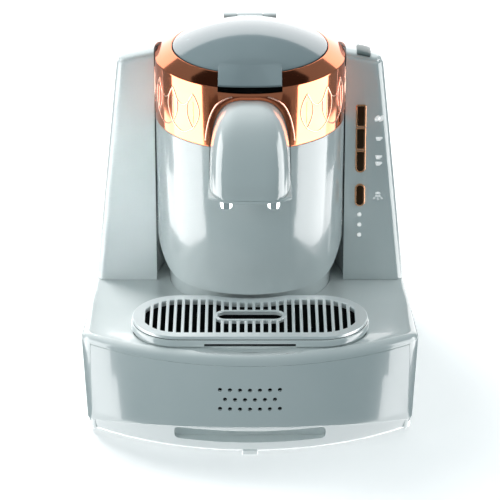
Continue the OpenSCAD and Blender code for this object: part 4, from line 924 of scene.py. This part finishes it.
def make_lid():
    """The lid: a shallow dome, rounded at its rim, its broad tab and its part of the hinge."""
    big = dome_radius()
    centre = MOUTH_Z + DOME_H - big
    half = math.degrees(math.asin(LID_R / big))
    outer = [(big * sind(a), centre + big * cosd(a)) for a in steps(0.02, half - 0.35, 40)]
    edge = [(LID_R - d, MOUTH_Z - h) for d, h in ((0.25, 0.1), (0.3, 0.6), (0.6, 0.9))]
    small = big - LID_T
    inner = [(small * sind(a), centre + small * cosd(a)) for a in steps(half - 1.6, 0.02, 20)]
    dome = lathe("lid_shell", outer + edge + inner, 192)
    # The lid's dome and tab take the dark teal painted shade.
    dress_all([soften(dome), soften(make_tab())], LID_PAINTED_SHADE, "lid_dome", body="lid")
    knuckle = box_solid("lid_knuckle", -KNUCKLE_X, KNUCKLE_X, BARREL_Y + LID_R - 4, HINGE_Y - 1.5,
                        MOUTH_Z - 2.6, MOUTH_Z - 0.4)
    rings = [circle(r, 24, HINGE_Y, HINGE_Z) for r in (EAR_R, KNUCKLE_BORE_R)]
    roll = plate("lid_roll", rings, sideways(-KNUCKLE_X), 2 * KNUCKLE_X, 0.3)
    dress_all([soften(knuckle, 0.3), roll], WHITE, body="lid")


def dome_at(r):
    """Height of the dome's outside at a distance from the barrel's axis."""
    big = dome_radius()
    return MOUTH_Z + DOME_H - big + math.sqrt(big * big - r * r)


def make_tab():
    """The tab runs on from the dome at the dome's own slope, down to a straight front edge."""
    start, front, fall = 49.0, BAND_R - 0.1, 4.7
    w = LID_TAB_W / 2
    slope = (dome_at(start) - MOUTH_Z + fall) / (front - start)

    def top(x, y):
        near = math.hypot(x, y)
        t = clamp((-y - start) / (front - start), 0, 1)
        reach = lerp(near, -y, t)
        if near < start:
            return dome_at(near) - 0.05
        return dome_at(start) - 0.05 * (1 - t) - (reach - start) * slope

    rings = []
    for x in steps(-w, w, 28):
        low = 0.9 * abs(x / w) ** 3
        over = [(x, BARREL_Y + y, top(x, y)) for y in steps(-front + low, -start + 3, 26)]
        under = [(x, y, z - lerp(3.4, 1.4, k / 26)) for k, (x, y, z) in enumerate(over[::-1])]
        rings.append(over + under)
    tab = loft("lid_tab", rings)
    outward(tab)
    return round_edges(tab, 0.55, 50)


# ---------------------------------------------------------------- spout


def cover_ring(s, inset, turns=28):
    w = max(0.4, cover_half(s) - inset)
    f = cover_front(s) + inset
    back = BARREL_Y - 58 + 0.1
    ring = []
    for i in range(2 * turns + 1):
        a = 180 + 180 * i / (2 * turns)
        c, q = cosd(a), abs(sind(a))
        x = w * math.copysign(abs(c) ** COVER_BEND, c)
        ring.append((x, lerp(back, f, q ** COVER_BEND), SPOUT_Z + SPOUT_H * (1 - s)))
    return ring


def make_spout():
    """The spout's hollow cover, its foot plate and the two nozzles."""
    outer = [cover_ring(max(0.002, (k / 44) ** 1.9), 0.0) for k in range(45)]
    foot = [[(x * 0.994, y + 0.12, SPOUT_Z) for x, y, _ in cover_ring(1, inset)] for inset in (0, 1.9)]
    outer[-1] = [(x, y, SPOUT_Z + 0.35) for x, y, _ in outer[-1]]
    inner = [cover_ring(s, 2.2) for s in (0.96, 0.85, 0.7, 0.5, 0.35)]
    cover = loft("spout_shell", outer + foot + inner)
    dress(soften(cover), WHITE, "spout_cover")

    bow, edge = 56, SPOUT_W / 2 + 0.6
    rise = math.degrees(math.asin(edge / bow))
    front = [(bow * sind(a), cover_front(1) - 0.6 + bow - bow * cosd(a)) for a in steps(-rise, rise, 40)]
    neck = BARREL_R - BARREL_WALL - 1.5
    turn = math.degrees(math.asin(edge / neck))
    back = [(neck * sind(a), BARREL_Y - neck * cosd(a)) for a in steps(turn, -turn, 30)]
    holes = [circle(NOZZLE_D / 2 + 0.2, 30, x, NOZZLE_Y) for x in (-NOZZLE_PITCH / 2, NOZZLE_PITCH / 2)]
    plate_z = SPOUT_Z - PLATE_T - SEAT
    foot_plate = plate("spout_foot", [front + back] + holes, flat(plate_z), PLATE_T, 0.7, 3)
    dress(foot_plate, WHITE, "spout_plate")

    low, r = plate_z - NOZZLE_L, NOZZLE_D / 2
    high = low + NOZZLE_L + PLATE_T + 1.8
    profile = fillet(rect(r - 1.4, r, low, high), [0.3, 0.5, 0.3, 0.3], 3)
    nozzles = [soften(lathe(f"nozzle_{side}", profile, 60, NOZZLE_Y, s * NOZZLE_PITCH / 2))
               for s, side in ((-1, "left"), (1, "right"))]
    dress_all(nozzles, CHROME, "nozzles")


# ---------------------------------------------------------------- rear housing


def roof_at(x, y):
    crown = CROWN_DROP / (HOUSING_TOP_W / 2) ** 2
    ahead, back = max(0, RIDGE_Y - y), max(0, y - RIDGE_Y)
    near = min(back, RIDGE_ROUND * tand(ROOF_SLOPE))
    return (RIDGE_Z - crown * x * x - ahead * ahead * 0.02 - near * near / (2 * RIDGE_ROUND)
            - (back - near) * tand(ROOF_SLOPE))


def housing_plan(half, y0, y1, r, inset, rr, fine=1):
    n = (cosd(SIDE_LEAN), sind(SIDE_LEAN))
    cf = (half - r / n[0], y0 + r)
    cr = (half - (y1 - rr - y0) * tand(SIDE_LEAN) - rr / n[0], y1 - rr)
    count = 22 * fine
    p = (cf[0] + (r - inset) * n[0], cf[1] + (r - inset) * n[1])
    q = (cr[0] + (rr - inset) * n[0], cr[1] + (rr - inset) * n[1])
    half_ring = (
        [(cf[0] * i / count, y0 + inset, 0, -1) for i in range(count)]
        + arc(cf, r - inset, -90, SIDE_LEAN, 14)
        + run(p, q, n, 18)
        + arc(cr, rr - inset, SIDE_LEAN, 90, 14)
        + [(cr[0] * i / count, y1 - inset, 0, 1) for i in range(count - 1, -1, -1)]
    )
    return both_sides(half_ring)


def housing_ring(zf, inset=0, y0=FACE_Y, y1=HOUSING_BACK, r=EDGE_R, rr=EDGE_R, side=0):
    low = housing_plan(HOUSING_W / 2 - side, y0, y1, r, inset, rr)
    high = housing_plan(HOUSING_TOP_W / 2 - side, y0, y1, r, inset, rr)
    ring = []
    for p, q in zip(low, high):
        z = zf(q[0], q[1])
        t = (z - DECK_Z) / (BAND_TOP - DECK_Z)
        ring.append((lerp(p[0], q[0], t), p[1], z))
    return ring


def below_roof(drop):
    return lambda x, y: roof_at(x, y) - drop


def level(z):
    return lambda x, y: z


def round_outline(w, h, top, foot, n=10):
    pts = []
    for cx, cz, r, a0 in ((w / 2, -h / 2, foot, -90), (w / 2, h / 2, top, 0),
                          (-w / 2, h / 2, top, 90), (-w / 2, -h / 2, foot, 180)):
        r = min(r, w / 2 - 0.01)
        mx, mz = cx - math.copysign(r, cx), cz - math.copysign(r, cz)
        pts += [(mx + r * cosd(a), mz + r * sind(a)) for a in steps(a0, a0 + 90, n)]
    return pts


BUTTON_ROUND = [(1.6, 0.4), (0.4, 0.4), (0.4, BUTTON_W / 2 - 0.05), (BUTTON_W / 2 - 0.05,) * 2]


def face_place(z, y):
    """Place on the housing's face: outline in XZ round a button's middle, swept forwards."""
    return lambda u, v, w: (BUTTON_X + u, y - w, z + v)


def niche_cutter():
    return cylinder("niche_cut", NICHE_R, 260, 0, BARREL_Y, DECK_Z - 5, 256)


def make_housing():
    """The housing's tapered wall with its windows, and the niche's wall behind the barrel."""
    w = HOUSING_WALL
    foot = DECK_Z + SEAT
    rings = [housing_ring(level(foot))]
    for drop, inset in ((2.4, 0), (1.0, 0.25), (0.15, 0.85), (0, 1.1), (0, w)):
        rings.append(housing_ring(below_roof(ROOF_EDGE + drop), inset))
    rings.append(housing_ring(level(foot), w))
    shell = loft("housing_shell", rings, wrap=True)
    cut(shell, niche_cutter())
    gap, behind = 2 * FRAME_T - 0.3, FACE_Y + 4
    window = round_outline(BUTTON_W - gap, BUTTON_H - gap, 0.6, 0.6, 3)
    for top in BUTTON_TOPS:
        cut(shell, prism("window", window, face_place(top - BUTTON_H / 2, behind), 6))
    for i in range(3):
        z = LED_TOP_Z - i * LED_PITCH
        cut(shell, prism("light_cut", circle(LED_D / 2, 30), face_place(z, behind), 6))
    dress(soften(shell), WHITE, "rear_housing")

    r_in, r_out = NICHE_R, NICHE_R + w
    start = math.degrees(math.asin((FACE_Y + w / 2 - BARREL_Y) / r_out))
    rings = []
    for a in steps(start, 180 - start, 150):
        near, far = [(r * cosd(a), BARREL_Y + r * sind(a)) for r in (r_in, r_out)]
        top = min(roof_at(*near), roof_at(*far)) - (ROOF_EDGE + SEAT + 0.2)
        rings.append([(*far, foot), (*near, foot), (*near, top), (*far, top)])
    dress(soften(loft("housing_niche", rings)), WHITE)


def crown_ring(share, drop):
    """A ring on the roof, drawn in towards its middle line by a share."""
    ring = []
    for x, y, _ in housing_ring(below_roof(0), 3.2):
        u = lerp(x, clamp(x, -ROOF_FLAT, ROOF_FLAT), share)
        v = lerp(y, (FACE_Y + HOUSING_BACK) / 2, share)
        ring.append((u, v, roof_at(u, v) - drop))
    return ring


def make_roof():
    """The roof's cover with its rounded edge."""
    low = ROOF_EDGE - SEAT
    edge = ((1.1, low), (1.15, 1.7), (1.3, 1.1), (1.6, 0.6), (2.1, 0.25), (2.7, 0.06), (3.2, 0))
    rings = [crown_ring(f, low) for f in (0.93, 0.6, 0.3)]
    rings += [housing_ring(below_roof(drop), inset) for inset, drop in edge]
    rings += [crown_ring(f, 0) for f in (0.1, 0.2, 0.3, 0.42, 0.55, 0.7, 0.82, 0.93)]
    roof = cut(loft("roof_cover", rings), niche_cutter())
    dress(soften(roof), WHITE, "top_cover")


def make_tank():
    """The clear tank and its cover, which carry on the housing's taper."""
    y0, y1 = HOUSING_BACK + SEAT, REAR_Y - 2
    foot = DECK_Z + SEAT
    w = TANK_WALL

    def ring(zf, inset):
        return housing_ring(zf, inset, y0, y1, 6, 20, TANK_INSET)

    rings = [ring(level(foot + h), inset) for h, inset in ((0, 1.5), (0.5, 0.5), (1.5, 0))]
    rings += [ring(below_roof(TANK_LID_H), inset) for inset in (0, w)]
    rings += [ring(level(foot + w + 1), w), ring(level(foot + w), w + 1)]
    dress(soften(loft("tank_body", rings)), CLEAR, "water_tank", body="tank")

    plug, lid_h = w + SLIP, TANK_LID_H
    section = ((lid_h + 4, plug), (lid_h - SEAT, plug), (lid_h - SEAT, 0.3), (lid_h - SEAT - 0.3, 0),
               (2, 0), (1.1, 0.35), (0.5, 1.0), (0.12, 1.8), (0, 2.6))
    rings = [ring(below_roof(drop), inset) for drop, inset in section]
    top = rings[-1]
    for f in (0.15, 0.35, 0.6, 0.85):
        inner = [(lerp(x, clamp(x, -ROOF_FLAT, ROOF_FLAT), f), lerp(y, (y0 + y1) / 2, f)) for x, y, _ in top]
        rings.append([(u, v, roof_at(u, v)) for u, v in inner])
    dress(soften(loft("tank_cover", rings)), WHITE, "tank_lid", body="tank_cover")


# ---------------------------------------------------------------- controls


def make_bezel(i, middle, h):
    """One copper-coloured frame on the housing's face."""
    up, low = BUTTON_ROUND[i]
    wall = 2 * FRAME_T
    edges = [round_outline(BUTTON_W, h, up, low),
             round_outline(BUTTON_W - wall, h - wall, max(0.3, up - FRAME_T), max(0.3, low - FRAME_T))]
    return plate(f"bezel_{i + 1}", edges, face_place(middle, FACE_Y), 1.0, 0.4, 3)


def make_button(i, middle, h, stem_end):
    """A rounded cap in its frame, with the flange behind the wall and the stem to the board."""
    up, low = BUTTON_ROUND[i]
    gap = 2 * (FRAME_T + BUTTON_PLAY)
    w, tall = BUTTON_W - gap, h - gap
    outline = round_outline(w, tall, max(0.3, up - gap / 2), max(0.3, low - gap / 2))
    cap = prism(f"cap_{i + 1}", outline, face_place(middle, FACE_Y + HOUSING_WALL), HOUSING_WALL + 1.3)
    back, flange_t = FACE_Y + HOUSING_WALL + 0.1, 1.2
    flange = prism("flange", round_outline(w + 2, tall + 1.2, 0.8, 0.8, 4),
                   face_place(middle, back + flange_t), flange_t)
    stem = prism("stem", circle(1.8, 24), face_place(middle, stem_end), stem_end - back - flange_t)
    return join([soften(cap, 0.35), soften(flange, 0.15), soften(stem, 0.15)])


def make_controls():
    """Four frames and the four push buttons in them."""
    bezels = []
    for i, name in enumerate(("roast", "one_cup", "two_cups", "clean")):
        node = f"button_{name}"
        middle = BUTTON_TOPS[i] - BUTTON_H / 2
        h = BUTTON_H - (0.4 if i < 3 else 0)
        bezels.append(make_bezel(i, middle, h))
        stem_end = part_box(node)[1][1] / MM
        # The caps take the near-black brown painted reflection.
        dress(make_button(i, middle, h, stem_end), CAP_PAINTED_REFLECTION, node, body=f"{name}_button")
    dress_all(bezels, TRIM, "button_bezels")


def make_slider():
    """The cup size slider: a pad that bends over the roof's front edge, on a stem."""
    x0 = BUTTON_X + 1.3
    crown = CROWN_DROP / (HOUSING_TOP_W / 2) ** 2
    lean = math.degrees(math.atan(2 * crown * x0))
    base = roof_at(x0, RIDGE_Y)
    pad_w, stem_w, stem_y0, stem_y1 = 5.2, 2, RIDGE_Y + 2.2, RIDGE_Y + 5.8

    def place(u, v, w):
        return (x0 + u * cosd(lean) + w * sind(lean), v, base - u * sind(lean) + w * cosd(lean))

    side = [(FACE_Y + 0.6, -1.5, -0.4), (FACE_Y + 1.4, -0.9, 0.1), (FACE_Y + 4, -0.1, 0.7),
            (FACE_Y + 7, 0.2, 1.0), (RIDGE_Y, 0.3, 1.1), (RIDGE_Y + 3.5, 0.2, 1.05),
            (RIDGE_Y + 6.6, 0.1, 0.85), (RIDGE_Y + 7.5, -0.4, 0.3)]
    rings = []
    for v, low, high in side:
        half = pad_w - (0.5 if v in (side[0][0], side[-1][0]) else 0)
        ring = [place(u, v, low) for u in steps(-half, half, 8)]
        ring += [place(u, v, high - 0.5 * (abs(u) / half) ** 6) for u in steps(half, -half, 8)]
        rings.append(ring)
    pad = loft("slider_pad", rings)
    plan = rect(-stem_w, stem_w, stem_y0, stem_y1)
    stem = loft("slider_stem", [[place(u, v, w) for u, v in plan] for w in (-7, 1)])
    dress_all([soften(pad, 0.25, 50), soften(stem, 0.2)], GREY, "size_slider", body="slider")


def make_icons():
    """Plain lit symbols by the buttons: two beans, one cup, two cups and a spray."""
    cup = fillet([(-2.5, 1.6), (-1.6, -1.5), (0.8, -1.5), (1.5, -0.5), (2.6, 0.2), (2.6, 1.4),
                  (1.7, 1.6)], [0.2, 0.5, 0.4, 0.3, 0.5, 0.5, 0.2], 4)
    bean = [(1.7 * math.copysign(abs(cosd(a)) ** 1.4, cosd(a)), 3.4 * sind(a)) for a in steps(0, 354, 59)]
    c, s = cosd(-28), sind(-28)
    shapes = [(BUTTON_TOPS[0] - 11.5, [(u * c - v * s * 0.9 + shift, u * s + v * c * 0.8) for u, v in bean])
              for shift in (-1.5, 1.5)]
    shapes += [(BUTTON_TOPS[1] - 9.5, cup), (BUTTON_TOPS[2] - 6.0, cup), (BUTTON_TOPS[2] - 11.2, cup)]
    spray_z = BUTTON_TOPS[3] - 8.5
    shapes.append((spray_z, [(2.0 * cosd(a), 1.7 * sind(a)) for a in steps(0, 180, 16)]))
    for tilt in (-38, 0, 38):
        for far in (2.0, 4.4):
            x, z = far * sind(tilt) * 1.05, -far * cosd(tilt)
            drop = [(x + 0.5 * cosd(a) * cosd(tilt) + 0.95 * sind(a) * sind(-tilt),
                     z + 0.5 * cosd(a) * sind(tilt) + 0.95 * sind(a) * cosd(tilt))
                    for a in steps(0, 345, 23)]
            shapes.append((spray_z, drop))
    for i, (middle, outline) in enumerate(shapes):
        moved = [(u + SYMBOL_X, v) for u, v in outline]
        dress(soften(prism(f"symbol_{i + 1}", moved, face_place(middle, FACE_Y + 0.02), 0.08)), PRINT)


LEAF_TURNS = [36.0 + 17.0 * k for k in range(7)]
LEAF_H, LEAF_W, SWAG_DROP = 27.0, 5.6, 5.0


def ridge(name, points, radius):
    """A raised line on the band through points of (turn in degrees, height)."""
    curve = bpy.data.curves.new(name, "CURVE")
    curve.dimensions = "3D"
    curve.bevel_depth = radius * MM
    curve.bevel_resolution = 3
    spline = curve.splines.new("NURBS")
    spline.points.add(len(points) - 1)
    for point, (a, z) in zip(spline.points, points):
        point.co = (BAND_R * sind(a) * MM, (BARREL_Y - BAND_R * cosd(a)) * MM, z * MM, 1)
    spline.order_u = 4
    spline.use_endpoint_u = True
    spline.resolution_u = 6
    mesh = curve_mesh(name, curve)
    smooth(mesh)
    dress(link(name, mesh), MOTIF)


def leaf_path(n=12):
    """The outline of an upright leaf, pointed at both ends, as (u, v) in millimetres."""
    right = [(LEAF_W * sind(180 * t) ** 0.9, LEAF_H * (t - 0.5)) for t in steps(0, 1, n)]
    return right + [(-u, v) for u, v in right[-2::-1]]


def make_motifs():
    """A raised border round each side of the band: upright leaves with veins, joined by swags."""
    middle = BAND_Z + BAND_H / 2 + 1.5
    per_mm = math.degrees(1 / BAND_R)
    gap = (LEAF_TURNS[1] - LEAF_TURNS[0]) / per_mm
    vein = [(0, v) for v in steps(-LEAF_H / 2 + 4, LEAF_H / 4, 6)]
    swag = [(gap * t, -LEAF_H / 2 - SWAG_DROP * sind(180 * t)) for t in steps(0, 1, 10)]
    crown = [(gap * t, LEAF_H / 2 - 11 * sind(180 * t) ** 0.8) for t in steps(0, 1, 10)]
    number = 0
    for side in (-1, 1):
        for turn in LEAF_TURNS:
            paths = [(leaf_path(), 0.5), (vein, 0.4)]
            if turn != LEAF_TURNS[-1]:
                paths += [(swag, 0.45), (crown, 0.45)]
            for path, radius in paths:
                number += 1
                points = [(side * (turn + u * per_mm), middle + v) for u, v in path]
                ridge(f"motif_{number}", points, radius)


def make_spout_rim():
    """The raised rim round the spout's opening in the band."""
    for s, side in ((-1, "left"), (1, "right")):
        path = [(s * math.degrees(math.asin(x / BAND_R)), z) for x, z in cover_view(3.6, SPOUT_Z)
                if x > 11 and z > BAND_Z + 3]
        ridge(f"spout_rim_{side}", path, 0.7)


# ---------------------------------------------------------------- stage


def make_camera():
    """The photograph's view: a long lens, well in front of the machine, looking down."""
    cam = bpy.data.cameras.new("view")
    cam.lens = 216
    cam.sensor_width = 36
    obj = link("view", cam)
    obj.location = (0, -2.0546, 1.0606)
    obj.rotation_euler = (math.radians(90 - 24.98), 0, 0)
    bpy.context.scene.camera = obj


def emitter(name, corners, strength):
    """A glowing card that only gloss sees: it gives the highlights their shape."""
    obj = new_object(name, corners, [tuple(range(len(corners)))], 1)
    mat = bpy.data.materials.new(name)
    mat.use_nodes = True
    tree = mat.node_tree
    tree.nodes.clear()
    glow = new_node(tree, "ShaderNodeEmission", Color=(1, 1, 1, 1), Strength=strength)
    out = tree.nodes.new("ShaderNodeOutputMaterial")
    tree.links.new(glow.outputs["Emission"], out.inputs["Surface"])
    mat.cycles.emission_sampling = "NONE"
    obj.data.materials.append(mat)
    obj.visible_camera = False
    obj.visible_diffuse = False
    obj.visible_shadow = False
    obj.visible_transmission = False


def lamp(name, place, target, size, power, colour, spread=180):
    light = bpy.data.lights.new(name, "AREA")
    light.spread = math.radians(spread)
    light.shape = "RECTANGLE"
    light.size, light.size_y = size
    light.energy = power
    light.color = colour
    obj = link(name, light)
    obj.location = place
    obj.rotation_mode = "QUATERNION"
    obj.rotation_quaternion = (Vector(target) - Vector(place)).to_track_quat("-Z", "Y")
    obj.visible_glossy = False
    obj.visible_camera = False


# In metres. Side cards, as (y, z): where the barrel's and the front corners' bright strips look
FLOOR_R, SIDE_X = 6.0, 1.3
STRIP_CARD = [(-0.87, -1.6), (-0.48, -1.6), (-0.48, -0.66), (0.36, -0.60), (0.36, 0.6),
              (-0.80, 0.6), (-0.80, -0.60), (-0.87, -0.60)]
EDGE_CARD = [(0.36, -0.60), (0.85, -0.64), (1.9, -0.92), (1.9, -0.67), (0.85, -0.43), (0.36, -0.36)]
EDGE_GLOW = {"left": 4.0, "right": 3.4}


def front_ring(centre_y, near, far, reach, z):
    """Corners of a ring sector in front of the machine, just under the floor."""
    ring = [(far * sind(a), -far * cosd(a)) for a in steps(-reach, reach, 24)]
    ring += [(near * sind(a), -near * cosd(a)) for a in steps(reach, -reach, 24)]
    return [(x, y + centre_y * MM, z) for x, y in ring]


def make_stage():
    """A pale floor, a soft sky, the cards that the gloss reflects, and the lamps."""
    r = FLOOR_R
    floor = new_object("floor", [(x, y, 0) for x, y in rect(-r, r, -r, r)], [(0, 1, 2, 3)], 1)
    mat, tree, shader = node_material("floor_paper")
    tone = two_tones(tree, object_noise(tree, 3.0), (0.93, 0.93, 0.93), (0.95, 0.95, 0.95))
    tree.links.new(tone, shader.inputs["Base Color"])
    set_inputs(shader, Roughness=0.9, Emission_Color=(1, 1, 1, 1), Emission_Strength=0.36)
    floor.data.materials.append(mat)
    floor.visible_glossy = False
    floor.visible_diffuse = False

    world = bpy.data.worlds.new("studio")
    world.use_nodes = True
    back = next(n for n in world.node_tree.nodes if n.type == "BACKGROUND")
    set_inputs(back, Color=(0.76, 0.95, 1.0, 1), Strength=0.325)
    bpy.context.scene.world = world
    bpy.context.scene.view_settings.view_transform = "Standard"

    for s, side in ((-1, "left"), (1, "right")):
        emitter(f"strip_{side}", [(s * SIDE_X, y, z) for y, z in STRIP_CARD], 6.0)
        emitter(f"edge_{side}", [(s * SIDE_X, y, z) for y, z in EDGE_CARD], EDGE_GLOW[side])
    emitter("card_back", [(x, 1.9, z) for x, z in rect(-1.7, 1.7, -0.3, 1.62)], 2.0)
    emitter("dark_top", [(x, y, 2.2) for x, y in rect(-1.2, 1.2, -0.5, 0.9)], 0.03)
    emitter("dark_front", front_ring(BARREL_Y, 0.54, 0.80, 48, -0.004), 0.10)
    emitter("under_skirt", front_ring(ARC_Y, 0.190, 0.236, 42, -0.002), 4.6)
    white, cool = (1, 1, 1), (0.9, 0.99, 1.0)
    lamp("key", (-0.80, 1.05, 1.85), (0, 0, 0.12), (0.9, 0.9), 36, white)
    lamp("top", (0.35, 0.25, 1.6), (0, 0, 0.12), (1.2, 1.2), 6, white)
    lamp("fill_left", (-1.0, -0.75, 0.50), (0, 0, 0.15), (0.7, 0.7), 3.0, cool)
    lamp("fill_right", (1.4, 0.3, 0.6), (0, 0, 0.15), (0.7, 0.7), 2.0, cool)
    lamp("spot_left", (-0.34, -1.3, 0.42), (-0.11, 0, 0.18), (0.08, 0.12), 0.022,
         (0.94, 1.0, 1.0), 7)


for make in (make_camera, make_stage, dress_nodes, make_deck, make_front_panel, make_grille,
             make_tray, make_barrel, make_band, make_pan, make_lid, make_hinge, make_spout,
             make_housing, make_roof, make_tank, make_controls, make_slider, make_icons,
             make_motifs, make_spout_rim):
    make()
